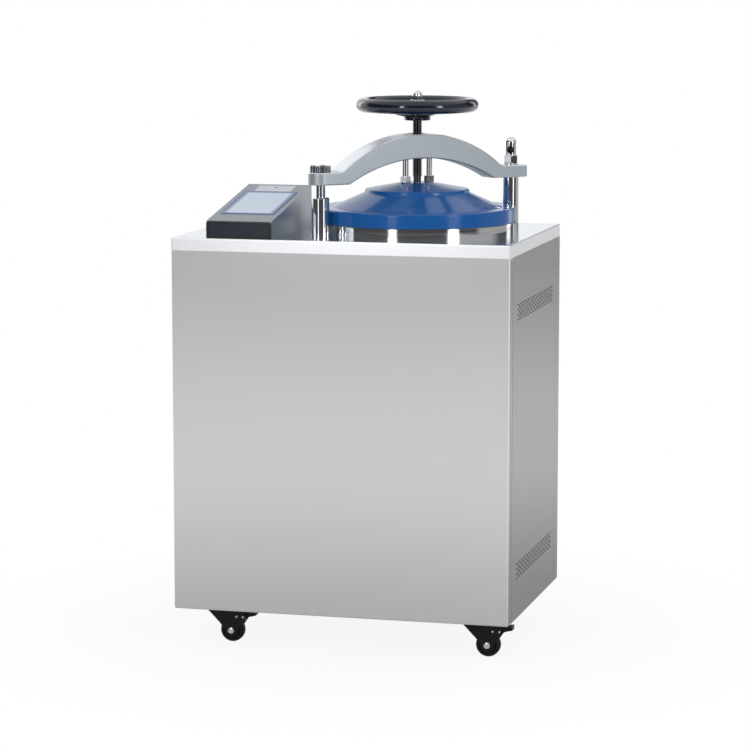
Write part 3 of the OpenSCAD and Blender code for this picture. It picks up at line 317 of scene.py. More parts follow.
axle_steel = plain_metal("axle_steel", (0.92, 0.93, 0.95), 0.35, 900, 0.04, 0.05, 0.000004)
zinc_plate = plain_metal("zinc_plate", (0.80, 0.81, 0.84), 0.14, 900, 0.04, 0.06, 0.000004)
bolt_steel = plain_metal("bolt_steel", (0.30, 0.31, 0.34), 0.20, 900, 0.04, 0.06)
brass = plain_metal("brass_finish", (0.62, 0.46, 0.20), 0.25, 700)
bronze = plain_metal("bronze_finish", (0.42, 0.27, 0.12), 0.32, 700)
pipe_steel = plain_metal("pipe_steel_finish", (0.66, 0.66, 0.66), 0.2, 600)
dark_sheath = plain_metal("dark_sheath", (0.22, 0.20, 0.18), 0.4, 700, 0.08, 0.2)
print("beam", cast_steel.name, "posts", latch_steel.name, hinge_steel.name)

# %% Enamel, paint and plastic
blue_enamel = moulded("blue_enamel_finish", (0.003, 0.092, 0.33), 0.24, 260, 0.05, 0.06, 0.00003,
                      Specular_IOR_Level=0.3, Coat_Weight=0.4, Coat_Roughness=0.06)
wheel_black = moulded("wheel_black_finish", (0.004, 0.009, 0.020), 0.20, 500, 0.04, 0.2, 0.000004,
                      Specular_IOR_Level=0.2, Coat_Weight=0.8, Coat_Roughness=0.04, Coat_IOR=1.5)
fascia_black = moulded("fascia_black_finish", (0.006, 0.012, 0.024), 0.22, 900, Coat_Weight=0.5)
border_black = moulded("border_black_finish", (0.004, 0.004, 0.006), 0.3, 900)
bezel_blue = moulded("bezel_blue_finish", (0.36, 0.44, 0.66), 0.3, 1500)
border_blue = moulded("border_blue_finish", (0.06, 0.11, 0.36), 0.25, 1500)
screen_pale = moulded("screen_pale_finish", (0.74, 0.82, 0.92), 0.22, 40, 0.03, 0.02, 0.0,
                      Coat_Weight=1.0, Coat_Roughness=0.03, Emission_Color=(0.74, 0.84, 1.0, 1.0),
                      Emission_Strength=0.33)
strip_pale = moulded("strip_pale_finish", (0.86, 0.89, 0.93), 0.30, 1500, 0.04, 0.03)
lens_dark = moulded("lens_dark_finish", (0.02, 0.02, 0.03), 0.15, 1500, Coat_Weight=1.0)
caster_black = moulded("caster_black_finish", (0.004, 0.005, 0.008), 0.28, 1300, 0.08, 0.3, 0.00003,
                       Specular_IOR_Level=0.3)
tyre_black = moulded("tyre_black_finish", (0.006, 0.006, 0.008), 0.4, 1600, 0.08, 0.3, 0.00003,
                     Specular_IOR_Level=0.3)
frame_paint = moulded("frame_paint", (0.10, 0.105, 0.11), 0.5, 900)
gland_black = moulded("gland_black_finish", (0.015, 0.015, 0.016), 0.4)
rocker_red = moulded("rocker_red_finish", (0.45, 0.015, 0.012), 0.25, 900, Coat_Weight=0.4)
lever_red = moulded("lever_red_finish", (0.42, 0.02, 0.015), 0.35, 900)
white_silicone = moulded("white_silicone_finish", (0.78, 0.78, 0.74), 0.45, 900)
wool = moulded("wool_finish", (0.62, 0.57, 0.42), 0.9, 350, 0.05, 0.25, 0.0008)
print("lid", blue_enamel.name, "wheel", wheel_black.name)

# %% A finish for every CAD part
FINISH_OF = {
    "brushed_sheet": panel_steel, "polished_plate": plate_steel, "frame_steel": frame_paint,
    "vessel_steel": vessel_steel, "polished_ring": ring_steel, "silicone": white_silicone,
    "mineral_wool": wool, "heater_sheath": dark_sheath, "basket_steel": basket_steel,
    "raw_steel": raw_steel, "bright_steel": rod_steel, "console_metal": console_metal,
    "fascia_black": fascia_black, "bezel_blue": bezel_blue, "screen_glass": screen_pale,
    "label_white": strip_pale, "caster_black": caster_black, "caster_tyre": tyre_black,
    "zinc": zinc_plate, "valve_brass": brass, "pipe_steel": pipe_steel,
    "gland_black": gland_black, "rocker_red": rocker_red, "lever_red": lever_red,
    "cast_beam": cast_steel, "bronze": bronze, "blue_enamel": blue_enamel,
    "screw_steel": screw_steel, "wheel_black": wheel_black,
}
for node_name, node in frame["nodes"].items():
    node.data.materials.clear()
    node.data.materials.append(FINISH_OF[SLOT_OF[node_name]])
# The side and rear panels take the darker copy, which is painted shade.
for node_name in ("left_panel", "right_panel", "rear_panel"):
    frame["nodes"][node_name].data.materials[0] = shaded_side_steel
print("finishes", len(FINISH_OF))

# %% [markdown]
# ## Ways to make a mesh
# Nearly every part here is either turned on a lathe or cut from plate. A turned part is a profile
# swept round an axis, and Blender's Spin tool or a Screw modifier could do it. Rings of points
# joined by faces are as easy in a script, and a ring may also be a hexagon, so nuts come out of
# the same helper. Corners of a profile get a small fillet, because a real edge catches the light.


# %% Mesh helpers
def loft(rings, caps=False):
    """Points and faces of a skin over rings that have the same number of points."""
    count = len(rings[0])
    faces = []
    for row in range(len(rings) - 1):
        for i in range(count):
            j = (i + 1) % count
            here, there = row * count, (row + 1) * count
            faces.append((here + i, here + j, there + j, there + i))
    if caps:
        last = (len(rings) - 1) * count
        faces.append(tuple(reversed(range(count))))
        faces.append(tuple(range(last, last + count)))
    return [point for ring in rings for point in ring], faces


def together(*parts):
    """Several skins as one."""
    points, faces = [], []
    for some_points, some_faces in parts:
        start = len(points)
        points += list(some_points)
        faces += [tuple(start + i for i in face) for face in some_faces]
    return points, faces


def moved(part, place):
    """A skin put somewhere else."""
    points, faces = part
    return [place @ Vector(point) for point in points], faces


def turned(rows, steps=96, closed=False):
    """A profile of (radius, height) rows swept round Z; a radius may depend on the angle."""
    rings = []
    for radius, height in rows + (rows[:1] if closed else []):
        ring = []
        for i in range(steps):
            angle = 2 * math.pi * i / steps
            reach = radius(angle) if callable(radius) else radius
            ring.append((reach * math.cos(angle), reach * math.sin(angle), height))
        rings.append(ring)
    return loft(rings)


def rounded(corners, closed=False, steps=5):
    """A line through corners (x, y, fillet), with each fillet as an arc of short straights."""
    line = []
    for i, (x, y, radius) in enumerate(corners):
        here = Vector((x, y))
        if not radius or (not closed and i in (0, len(corners) - 1)):
            line.append((x, y))
            continue
        back = (Vector(corners[i - 1][:2]) - here).normalized()
        ahead = (Vector(corners[(i + 1) % len(corners)][:2]) - here).normalized()
        half = back.angle(ahead) / 2
        centre = here + (back + ahead).normalized() * radius / math.sin(half)
        start = here + back * radius / math.tan(half) - centre
        end = here + ahead * radius / math.tan(half) - centre
        first = math.atan2(start.y, start.x)
        sweep = (math.atan2(end.y, end.x) - first + math.pi) % (2 * math.pi) - math.pi
        for k in range(steps + 1):
            angle = first + sweep * k / steps
            line.append((centre.x + radius * math.cos(angle), centre.y + radius * math.sin(angle)))
    return line


def scaled(rows):
    """Rows given in millimetres, in metres."""
    return [(radius if callable(radius) else radius * mm, height * mm) for radius, height in rows]


def lathed(corners, steps=96, closed=False, fine=5):
    """A turned skin from corners (radius, height, fillet) in millimetres."""
    return turned(scaled(rounded(corners, closed, fine)), steps, closed)


def hexagon(across_flats):
    """The reach of a hexagon with a corner at angle 0, for an angle, in metres."""
    return lambda angle: across_flats * mm / 2 / math.cos(angle % (math.pi / 3) - math.pi / 6)


def clipped(reach, radius):
    """A hexagon's reach with its corners turned down to a radius in millimetres."""
    return lambda angle: min(reach(angle), radius * mm)


def nut(across_flats, low, high, bore):
    """A hexagon nut in millimetres with the curved chamfers that a lathe gives its corners."""
    corner, flat = across_flats / math.sqrt(3), across_flats / 2 * 0.97
    reach = hexagon(across_flats)
    drop = (corner - flat) * 0.6
    rows = [(clipped(reach, flat + (corner - flat) * share), drop * share)
            for share in (k / 5 for k in range(6))]
    foot = [(radius, low + up) for radius, up in rows]
    top = [(radius, high - up) for radius, up in reversed(rows)]
    return turned(scaled([(bore, low)] + foot + top + [(bore, high)]), 96, closed=True)


print("mesh helpers ready")

# %% [markdown]
# ## From a skin to a piece of the machine
# A piece stands for a CAD part: it hides the part and moves with its body. Smooth shading
# everywhere would smear the light over real corners, so edges sharper than a limit stay crisp, and
# a large face keeps its own direction up to the fillet beside it.


# %% Piece helpers
def solid(name, skin, place=Matrix()):
    """A mesh object in the shared frame."""
    mesh = bpy.data.meshes.new(name)
    mesh.from_pydata([tuple(point) for point in skin[0]], [], skin[1])
    mesh.transform(place)
    obj = bpy.data.objects.new(name, mesh)
    bpy.context.scene.collection.objects.link(obj)
    return obj


def tidy(obj, crease=30, flat=0.0):
    """Joins points that meet, turns the faces outward and keeps only real corners sharp."""
    work = bmesh.new()
    work.from_mesh(obj.data)
    bmesh.ops.remove_doubles(work, verts=work.verts, dist=0.000002)
    bmesh.ops.dissolve_degenerate(work, dist=0.000001, edges=work.edges)
    if flat:
        bmesh.ops.dissolve_limit(work, angle_limit=math.radians(flat), verts=work.verts,
                                 edges=work.edges)
    bmesh.ops.recalc_face_normals(work, faces=work.faces)
    work.to_mesh(obj.data)
    work.free()
    obj.data.shade_smooth()
    obj.data.set_sharp_from_angle(angle=math.radians(crease))
    return obj


def settled(obj):
    """Turns an object's modifiers into its mesh."""
    view = bpy.context.evaluated_depsgraph_get()
    done = bpy.data.meshes.new_from_object(obj.evaluated_get(view))
    obj.modifiers.clear()
    obj.data = done
    return obj


def cut(obj, *tools):
    """Takes the tools' shapes out of an object."""
    for tool in tools:
        tidy(tool)
        step = obj.modifiers.new("cut", "BOOLEAN")
        step.operation = "DIFFERENCE"
        step.solver = "EXACT"
        step.object = tool
    tidy(settled(obj))
    for tool in tools:
        bpy.data.objects.remove(tool)
    return obj


def eased(obj, width, segments=3, limit=35):
    """Rounds every real corner of an object."""
    step = obj.modifiers.new("edge", "BEVEL")
    step.width = width * mm
    step.segments = segments
    step.limit_method = "ANGLE"
    step.angle_limit = math.radians(limit)
    step.use_clamp_overlap = True
    return tidy(settled(obj))


def even(obj):
    """Lets a large face keep its own direction where it meets a fillet."""
    step = obj.modifiers.new("even", "WEIGHTED_NORMAL")
    step.keep_sharp = True
    return settled(obj)


def rides_with(obj, node, material):
    """Gives a piece its finish, and the body of the CAD part that it sits on."""
    obj.data.materials.clear()
    obj.data.materials.append(material)
    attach(obj, frame["nodes"][node]["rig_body"])
    return obj


def stands_for(obj, node, material):
    """The same for a piece that is shown in the place of its CAD part."""
    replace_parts(even(obj), node)
    return rides_with(obj, node, material)


def piece(name, skin, place, node, material, crease=30):
    """A new skin that is shown in the place of a CAD part."""
    return stands_for(tidy(solid(name, skin, place), crease), node, material)


def refinish(obj, material, chosen):
    """Gives another finish to the faces that a test picks."""
    obj.data.materials.append(material)
    for face in obj.data.polygons:
        if chosen(face):
            face.material_index = len(obj.data.materials) - 1


def copy_of(node):
    """A clean copy of a CAD part's mesh, with its flat faces whole again."""
    obj = bpy.data.objects.new(node + "_eased", frame["nodes"][node].data.copy())
    bpy.context.scene.collection.objects.link(obj)
    return tidy(obj, flat=0.4)


def eased_part(node, material, width, segments=2):
    """The CAD part itself with its corners rounded."""
    return stands_for(eased(copy_of(node), width, segments), node, material)


print("piece helpers ready")

# %% [markdown]
# ## The top plate
# The plate is one sheet with its edges folded down, polished, with a bent corner radius and three
# holes. A cube with a Bevel modifier would round the holes too. So the rounded shell is lofted from
# rounded rectangles, and only then are the holes for the vessel and the two posts cut. The upper
# face is smoother than the folded lip, because a polishing wheel reaches all of it.


# %% Top plate
def plate_ring(low, high, inset, corner, z, steps=6):
    """A rounded rectangle at one height."""
    ring = []
    for k, (sx, sy) in enumerate(((1, 1), (-1, 1), (-1, -1), (1, -1))):
        x = high.x - inset - corner if sx > 0 else low.x + inset + corner
        y = high.y - inset - corner if sy > 0 else low.y + inset + corner
        for i in range(steps + 1):
            angle = math.pi / 2 * (k + i / steps)
            ring.append((x + corner * math.cos(angle), y + corner * math.sin(angle), z))
    return ring


low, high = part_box("top_plate")
sheet, bend, corner = 1.5 * mm, 2.5 * mm, 3 * mm
rings = [plate_ring(low, high, sheet, corner - sheet, high.z - sheet),
         plate_ring(low, high, sheet, corner - sheet, low.z),
         plate_ring(low, high, 0, corner, low.z)]
for k in range(7):
    angle = math.pi / 2 * k / 6
    inset = bend * (1 - math.cos(angle))
    height = high.z - bend + bend * math.sin(angle)
    rings.append(plate_ring(low, high, inset, corner - inset, height))
plate = tidy(solid("top_sheet", loft(rings, caps=True)))
ring_r = (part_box("vessel_flange")[1].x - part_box("vessel_flange")[0].x) / 2
SLIP = 0.05  # millimetres between a hole and what stands in it
post_r, depth, holes = 18 * mm, 30 * mm, []
for place, inner in ((VESSEL, ring_r), (HINGE, post_r), (LATCH, post_r)):
    radius = inner + SLIP * mm
    rows = [(0, -depth), (radius, -depth), (radius, depth), (0, depth)]
    holes.append(solid("hole", turned(rows, 192), Matrix.Translation(place)))
stands_for(cut(plate, *holes), "top_plate", plate_steel)
refinish(plate, polished_steel, lambda face: face.normal.z > 0.99)
print("top plate", [round(v / mm) for v in (high - low)], "mm")

# %% [markdown]
# ## The front panel
# The front is a shallow tray: one sheet with its four edges folded back. Sharp CAD edges would look
# like cut foil, so its folds are rounded. A Bevel modifier could do it, but rings lofted from back
# to front also give the folds and the sides faces of their own: the folds get a paler finish, a
# painted highlight, and the sides get a darker one, which is painted shade.

# %% Front panel
front_low, front_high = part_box("front_panel")
low, high = Vector((front_low.x, front_low.z, 0)), Vector((front_high.x, front_high.z, 0))
face_y, back_y, fold, corner = front_low.y, front_high.y, 3 * mm, 4 * mm
arc = [math.pi / 12 * k for k in range(7)]
steps = [(sheet, face_y + sheet), (sheet, back_y - fold), (fold, back_y - sheet)]
steps += [(fold * (1 - math.sin(a)), back_y - fold * (1 - math.cos(a))) for a in arc]
steps += [(fold * (1 - math.cos(a)), face_y + fold * (1 - math.sin(a))) for a in arc]
rings = []
for inset, y in steps:
    under_lip = high + Vector((0, inset, 0))  # the upper edge isn't drawn in
    ring = plate_ring(low, under_lip, inset, corner - inset, 0)
    rings.append([(across, y, up) for across, up, _ in ring])
front = piece("front_tray", loft(rings, caps=True), Matrix(), "front_panel", panel_steel)
# The tray's sides take the darker copy, which is painted shade.
refinish(front, shaded_side_steel, lambda face: abs(face.normal.x) > 0.97)
# The folds take the paler plate finish, which is a painted highlight.
refinish(front, plate_steel, lambda face: 0.2 < abs(face.normal.x) <= 0.97)
print("front panel", [round(v / mm) for v in (high - low).xy], "mm")

# %% [markdown]
# ## The neck ring
# The vessel ends in a heavy ring that is turned and polished, with a groove for the gasket. It is
# the brightest part under the lid. Its profile is swept round the vessel axis, with a fine groove
# half way up, where the ring and its bead meet.

# %% Neck ring
ring_outer = ring_r / mm
groove = ring_outer - 0.5
corners = [(173.05, -8, 0), (ring_outer, -8, 0), (ring_outer, 11.4, 0.2), (groove, 11.8, 0),
           (groove, 12.2, 0), (ring_outer, 12.6, 0.2), (ring_outer, 22, 1.2), (185, 22, 0.3),
           (185, 18.05, 0), (174, 18.05, 0), (174, 22, 0.3), (170, 22, 0.8), (170, 14.05, 0),
           (173.05, 14.05, 0)]
piece("neck_ring", lathed(corners, 240, closed=True, fine=4), AT_VESSEL, "vessel_flange",
      ring_steel)
print("neck ring", round(2 * ring_outer, 1), "mm across")

# %% [markdown]
# ## The lid
# The lid is a pressed and enamelled steel dome: a thick rounded rim, a cone, a step and a shallow
# crown with a flat hub. A subdivided disc could be pulled into this form, but the levels are known,
# so a profile with fillets gives the same curve all round and thin highlights on every ring.

# %% Lid
LID_R, LID_TOP, SCREW_R = 202, 102, 8
bore = SCREW_R + SLIP
corners = [(bore, LID_TOP, 0), (33, LID_TOP, 4), (106.5, 88.5, 3), (108, 81.5, 3), (174, 52, 9),
           (LID_R, 52, 4), (LID_R, 22.5, 1.5), (166, 22.5, 0.8), (166, 42, 3), (98, 71, 4),
           (44, 83.5, 3), (34, 77, 1), (14, 77, 0.5), (14, 95, 0), (bore, 95, 0)]
piece("enamel_lid", lathed(corners, 240, closed=True, fine=6), AT_VESSEL, "lid", blue_enamel, 40)
print("lid", 2 * LID_R, "mm across")

# %% [markdown]
# ## The beam
# The beam is a casting: an arch with flat ends, rounded at the hinge and square at the latch, with
# an open slot that swings over the tie stud. It could be modelled from a subdivided box. Here the
# arcs of the side view give the upper and lower heights at stations along the beam, the corners
# are rounded like a casting's, and the machined holes are cut last, because they have sharp rims.
# The upward faces get a smoother finish and a much paler colour, which is painted light from
# above; the sides keep the skin of the casting.

# %% Beam heights
END_T, HALF_W, BEAM_Z, LATCH_END = 25, 25, 105, 26
TOP_R, TOP_RISE, LOW_R, LOW_RISE, BLEND_R = 290, 72, 340, 47, 25
top_centre = END_T + TOP_RISE - TOP_R
blend_x = math.sqrt((TOP_R + BLEND_R) ** 2 - (TOP_R - TOP_RISE + BLEND_R) ** 2)
touch_x = blend_x * TOP_R / (TOP_R + BLEND_R)
low_x = math.sqrt(LOW_R ** 2 - (LOW_R - LOW_RISE) ** 2)
post = POST_R / mm


def beam_top(x):
    """Height of the beam's upper face above the underside of its ends."""
    x = abs(x)
    if x <= touch_x:
        return top_centre + math.sqrt(TOP_R ** 2 - x ** 2)
    if x < blend_x:
        return END_T + BLEND_R - math.sqrt(BLEND_R ** 2 - (x - blend_x) ** 2)
    return END_T


def beam_low(x):
    """Height of the beam's lower face."""
    return max(0.0, math.sqrt(LOW_R ** 2 - x ** 2) - LOW_R + LOW_RISE)


print("arch", round(beam_top(0)), "to", round(beam_low(0)), "mm above the beam's ends")

# %% Beam casting
stations = [(-post - HALF_W * math.cos(math.pi * k / 32), HALF_W * math.sin(math.pi * k / 32))
            for k in range(17)]
middle = [-low_x, low_x, -touch_x, touch_x, -blend_x, blend_x]
middle += [-low_x + 2 * low_x * k / 56 for k in range(1, 56)]
middle += [side * (touch_x + (blend_x - touch_x) * k / 6) for k in range(1, 6) for side in (-1, 1)]
stations += [(x, HALF_W) for x in sorted(middle)] + [(post + LATCH_END, HALF_W)]
sections = []
for x, half in stations:
    up, down = beam_top(x) * mm, beam_low(x) * mm
    sections.append([(x * mm, -half * mm, down), (x * mm, half * mm, down),
                     (x * mm, half * mm, up), (x * mm, -half * mm, up)])
AT_BEAM = AT_VESSEL @ Matrix.Translation((0, 0, BEAM_Z * mm))
casting = tidy(solid("cast_beam_body", loft(sections, caps=True), AT_BEAM), flat=0.3)
slot_r, slot_out, past = 9.5, 40, 5  # a tool reaches a little past what it cuts
outline = [(post + slot_r * math.cos(a), slot_r * math.sin(a))
           for a in (math.pi + math.pi * k / 24 for k in range(25))]
outline += [(post + slot_r, slot_out), (post - slot_r, slot_out)]
slot_rings = [[(x * mm, y * mm, z * mm) for x, y in outline] for z in (-past, END_T + past)]
slot_tool = solid("slot", loft(slot_rings, caps=True), AT_BEAM)
eased(cut(casting, slot_tool), 2.6, 4)
print("beam stations", len(stations))


# %% Beam holes
def drill(x, radius, low_z, high_z):
    """A round cutting tool at a place along the beam, in millimetres."""
    rows = scaled([(0, low_z), (radius, low_z), (radius, high_z), (0, high_z)])
    return solid("drill", turned(rows), AT_BEAM @ Matrix.Translation((x * mm, 0, 0)))


GUIDE_X, GUIDE_R, NUT_R, SHAFT_R, HEAD_R = 28.4, 6.5, 20, 9.75, 22
over, head_seat, guide_bore = 110, END_T - 8, GUIDE_R + SLIP
cut(casting, drill(0, NUT_R, -past, over), drill(-GUIDE_X, guide_bore, -past, over),
    drill(GUIDE_X, guide_bore, -past, over), drill(-post, HEAD_R + SLIP, head_seat, END_T + 9),
    drill(-post, SHAFT_R, -past, head_seat + 1))
stands_for(casting, "beam", cast_steel)
# The upward faces take the paler finish, which is painted light from above.
refinish(casting, lit_top_steel, lambda face: face.normal.z > 0.3)
print("beam faces", len(casting.data.polygons))

# %% [markdown]
# ## The hinge
# The beam swings on a shaft in a chromed sleeve. The shaft's round head is let into the beam and
# held by four cap screws with hexagon sockets. A plain cylinder would do for a screw at this size,
# but the knurled sides and the sockets show in the light, so the screws are turned properly.

# %% Hinge sleeve, shaft and cap screws
POST, bore, floor_z = 18, SHAFT_R + SLIP, -50
piece("bright_sleeve", lathed(
    [(bore, floor_z, 0), (bore, 80, 0.5), (15.6, 80, 0.4), (POST, 77.6, 0.4), (POST, -8, 0),
     (12, -8, 0), (12, -55, 0), (0, -55, 0), (0, floor_z, 0)], 128, closed=True),
    AT_HINGE, "hinge_sleeve", hinge_steel)
foot, seat, BEAM_TOP = floor_z + SLIP, BEAM_Z + head_seat, BEAM_Z + END_T
piece("bright_shaft", lathed(
    [(0, foot, 0), (SHAFT_R, foot, 0), (SHAFT_R, seat, 0), (HEAD_R, seat, 0),
     (HEAD_R, BEAM_TOP, 0.7), (0, BEAM_TOP, 0)], 128), AT_HINGE, "hinge_shaft", hinge_steel)


def cap_screw(head_r, low, high, stem_r, foot, socket):
    """A socket cap screw in millimetres, with a knurled head."""
    def knurl(angle):
        return (head_r - 0.18 * (round(angle / (2 * math.pi / 96)) % 2)) * mm
    reach, deep = hexagon(socket), 6
    return turned(scaled([
        (0, foot), (stem_r, foot), (stem_r, low), (head_r - 0.4, low), (knurl, low + 0.6),
        (knurl, high - 2.2), (head_r - 0.1, high - 1.9), (head_r - 0.2, high - 0.9),
        (head_r - 1.1, high), (reach, high), (reach, high - deep), (0, high - deep)]))


screws, pitch_r = [], 15.5
for i in range(4):
    turn = Matrix.Rotation(math.pi / 4 + math.pi / 2 * i, 4, "Z")
    screws.append(moved(cap_screw(6, BEAM_TOP, BEAM_TOP + 14, 3.5, 110, 6),
                        turn @ Matrix.Translation((pitch_r * mm, 0, 0))))
piece("cap_screws", together(*screws), AT_HINGE, "hinge_bolts", bolt_steel)
print("hinge screws", len(screws))

# %% [markdown]
# ## The latch
# The rear post ends in a threaded stud. A washer and a tall tie nut clamp the beam to it. The nut
# is a hexagon under a bullet-shaped cap, with a cross hole for a bar. The cap is turned in one
# profile with the hexagon, and the hole is cut with a tool that also breaks its rim. The inside of
# the hole gets a dark finish, which is painted shade.


# %% Threads
def thread(radius, depth, pitch, low, high, steps=48):
    """The winding surface of a screw in millimetres, ended flat at both heights."""
    shape = ((0.0, 0.0), (0.28, 0.0), (0.5, -depth), (0.78, -depth))
    rows = []
    for turn in range(int((high - low) / pitch) + 3):
        for share, dip in shape:
            rows.append((radius + dip, low + (turn - 1.5 + share) * pitch))
    points, faces = [], []
    for reach, start in rows:
        for i in range(steps + 1):
            angle = 2 * math.pi * i / steps
            z = min(max(start + pitch * i / steps, low), high)
            points.append((reach * mm * math.cos(angle), reach * mm * math.sin(angle), z * mm))
    for row in range(len(rows) - 1):
        for i in range(steps):
            a = row * (steps + 1) + i
            faces.append((a, a + 1, a + steps + 2, a + steps + 1))
    return points, faces


print("thread helper ready")

# %% Latch post and washer
post_top, stud_top, STUD_R = 104.7, 149.2, 8
stud = together(
    lathed([(0, -28, 0), (12, -28, 0), (12, -8, 0), (17.95, -8, 0), (17.95, post_top, 0.8),
            (7.1, post_top, 0), (7.1, stud_top, 0), (0, stud_top, 0)], 128),
    thread(STUD_R, 0.9, 2, post_top, stud_top))
piece("bright_post", stud, AT_LATCH, "latch_post", latch_steel)
low, base, shoulder, cap_r, bore = BEAM_TOP + 0.2, 132.7, 150.2, 12.25, STUD_R + SLIP
washer_top = base - SLIP  # just clear of the nut, which turns on it
piece("bright_washer", lathed(
    [(bore, low, 0), (15, low, 0.4), (15, washer_top, 0.6), (bore, washer_top, 0.3)],
    closed=True), AT_LATCH, "latch_washer", zinc_plate)
print("post", post_top, "mm high, nut from", base, "mm")

# %% Tie nut
reach = hexagon(27)
dome_z = shoulder + 37 - cap_r
rows = [(bore, base), (clipped(reach, 13.8), base), (clipped(reach, 15.5), base + 0.9)]
rows += [(clipped(reach, 15.6 - 0.5 * k), shoulder - 2.4 + 0.46 * k) for k in range(6)]
rows += [(cap_r + 0.15, shoulder + 0.3), (cap_r, shoulder + 0.8), (cap_r, dome_z)]
rows += [(cap_r * math.cos(math.pi / 2 * k / 12), dome_z + cap_r * math.sin(math.pi / 2 * k / 12))
         for k in range(1, 13)]
rows += [(0, shoulder - 1), (bore, shoulder - 1)]
tie_nut = tidy(solid("tie_cap_nut", turned(scaled(rows), closed=True), AT_LATCH))
bar_r, blind_end, mouth, hole_up, hole_turn = 7, -4.75, 14.6, 11, 10
hole_rows = scaled([(0, blind_end), (bar_r, blind_end), (bar_r, 10.9), (7.9, 12.3), (9.4, mouth),
                    (0, mouth)])
AT_HOLE = (Matrix.Translation(LATCH + Vector((0, 0, (shoulder + hole_up) * mm)))
           @ Matrix.Rotation(math.radians(hole_turn), 4, "Z")
           @ Matrix.Rotation(math.pi / 2, 4, "X"))
bar_hole = solid("bar_hole_tool", turned(hole_rows, 64), AT_HOLE)


def in_shaded_hole(face):
    """True for the faces that the drill has left, which get the painted shade."""
    spot = AT_HOLE.inverted() @ face.center
    return spot.xy.length < (bar_r + 0.2) * mm and (blind_end - SLIP) * mm < spot.z < 12 * mm


stands_for(cut(tie_nut, bar_hole), "tie_nut", latch_steel)
# The inside of the bar hole takes the dark finish, which is painted shade.
refinish(tie_nut, shaded_bore_steel, in_shaded_hole)
print("tie nut top", round(dome_z + cap_r, 1), "mm above the plate")

# %% [markdown]
# ## Screw, guides and handwheel
# Turning the handwheel turns a screw in the bronze nut of the beam, and the lid rises with it. Two
# guide rods keep the lid from turning. A bump texture could fake the thread, but its outline
# shows against the white background, so the thread is real geometry with one start.

# %% Screw and lead nut
WHEEL_Z, WHEEL_TOP, thread_low, thread_r = 229, 268, 114.7, 9.95
foot, collar, end_r = 83.05, 88.95, 6.5
screw = together(
    turned(scaled([(0, foot), (12.5, foot), (12.5, collar), (SCREW_R, collar),
                   (SCREW_R, thread_low), (9.2, thread_low), (9.2, thread_low + 0.5)])),
    turned(scaled([(8.3, thread_low), (8.3, WHEEL_Z), (SCREW_R, WHEEL_Z), (SCREW_R, WHEEL_TOP),
                   (end_r, WHEEL_TOP), (end_r, 282.5), (0, 283.5)])),
    thread(thread_r, 1.6, 4, thread_low, WHEEL_Z))
piece("threaded_screw", screw, AT_VESSEL, "lead_screw", screw_steel)
low, high, bore = 150.8, 200.8, thread_r + SLIP
piece("bronze_nut", lathed(
    [(bore, low, 0.8), (NUT_R, low, 0.6), (NUT_R, high, 0.6), (bore, high, 1.2)], closed=True),
    AT_VESSEL, "lead_nut", bronze)
print("thread from", thread_low, "to", WHEEL_Z, "mm")

# %% Guide rods and their nuts
rods, nuts = [], []
for side, turn in ((-1, 12), (1, 0)):
    place = Matrix.Translation((side * GUIDE_X * mm, 0, 0))
    rods.append(moved(lathed([(0, 84, 0), (GUIDE_R, 84, 0), (GUIDE_R, 190, 1.0), (0, 190, 0)], 64),
                      place))
    nuts.append(moved(nut(20, LID_TOP, thread_low, guide_bore),
                      place @ Matrix.Rotation(math.radians(turn), 4, "Z")))
piece("bright_guides", together(*rods), AT_VESSEL, "guide_rods", rod_steel)
piece("bright_guide_nuts", together(*nuts), AT_VESSEL, "guide_nuts", zinc_plate)
print("guides", len(rods))

# %% [markdown]
# ## The handwheel
# A moulded black wheel: a thick round rim, three spokes that rise from the hub to the rim, and a
# hub with a foot plate. The rim is a torus. Each spoke is lofted through rounded sections, wider
# where it joins the rim and the hub, because a moulded part has no sharp inner corners.


# %% Handwheel
def oval(width, height, steps=20, power=0.6):
    """A rounded section as pairs of across and up."""
    pairs = []
    for i in range(steps):
        c, s = math.cos(2 * math.pi * i / steps), math.sin(2 * math.pi * i / steps)
        pairs.append((width / 2 * math.copysign(abs(c) ** power, c),
                      height / 2 * math.copysign(abs(s) ** power, s)))
    return pairs


def smooth(share):
    """A soft rise from 0 to 1."""
    return share * share * (3 - 2 * share)


RIM_UP, RIM_MID, RIM_R = 31.5, 111.5, 14
around = [2 * math.pi * k / 32 for k in range(32)]
rim = turned(scaled([(RIM_MID + RIM_R * math.cos(a), WHEEL_Z + RIM_UP + RIM_R * math.sin(a))
                     for a in around]), 160, closed=True)
bore = SCREW_R + SLIP
hub = lathed([(bore, WHEEL_Z, 0.5), (27, WHEEL_Z, 1.2), (27, 236, 2), (16.5, 237.5, 3),
              (15.6, 261, 2), (20, 262, 1.2), (20, WHEEL_TOP, 1.5), (bore, WHEEL_TOP, 0.8)],
             closed=True)
print("rim", 2 * RIM_R, "mm thick")

# %% Spokes and the whole wheel
spokes = []
inner_x, inner_up, outer_x, spoke_w = 13, 12, RIM_MID - 2, 19
for turn in (45, 165, 285):
    sections = []
    for k in range(15):
        share = k / 14
        reach_x = inner_x + (outer_x - inner_x) * share
        rise = WHEEL_Z + inner_up + (RIM_UP - inner_up) * smooth(share)
        at_hub = 1 - smooth(min(1, share / 0.35))
        at_rim = smooth(max(0, (share - 0.72) / 0.28))
        flare = 1 + 0.55 * at_hub + 0.5 * at_rim
        thick = (12 - 2 * share) * (1 + 0.25 * smooth(max(0, (share - 0.75) / 0.25)))
        sections.append([(reach_x * mm, across * mm, (rise + up) * mm)
                         for across, up in oval(spoke_w * flare, thick)])
    spokes.append(moved(loft(sections, caps=True), Matrix.Rotation(math.radians(turn), 4, "Z")))
piece("moulded_wheel", together(rim, hub, *spokes), AT_VESSEL, "handwheel", wheel_black, 50)
print("wheel", 2 * (RIM_MID + RIM_R), "mm across")

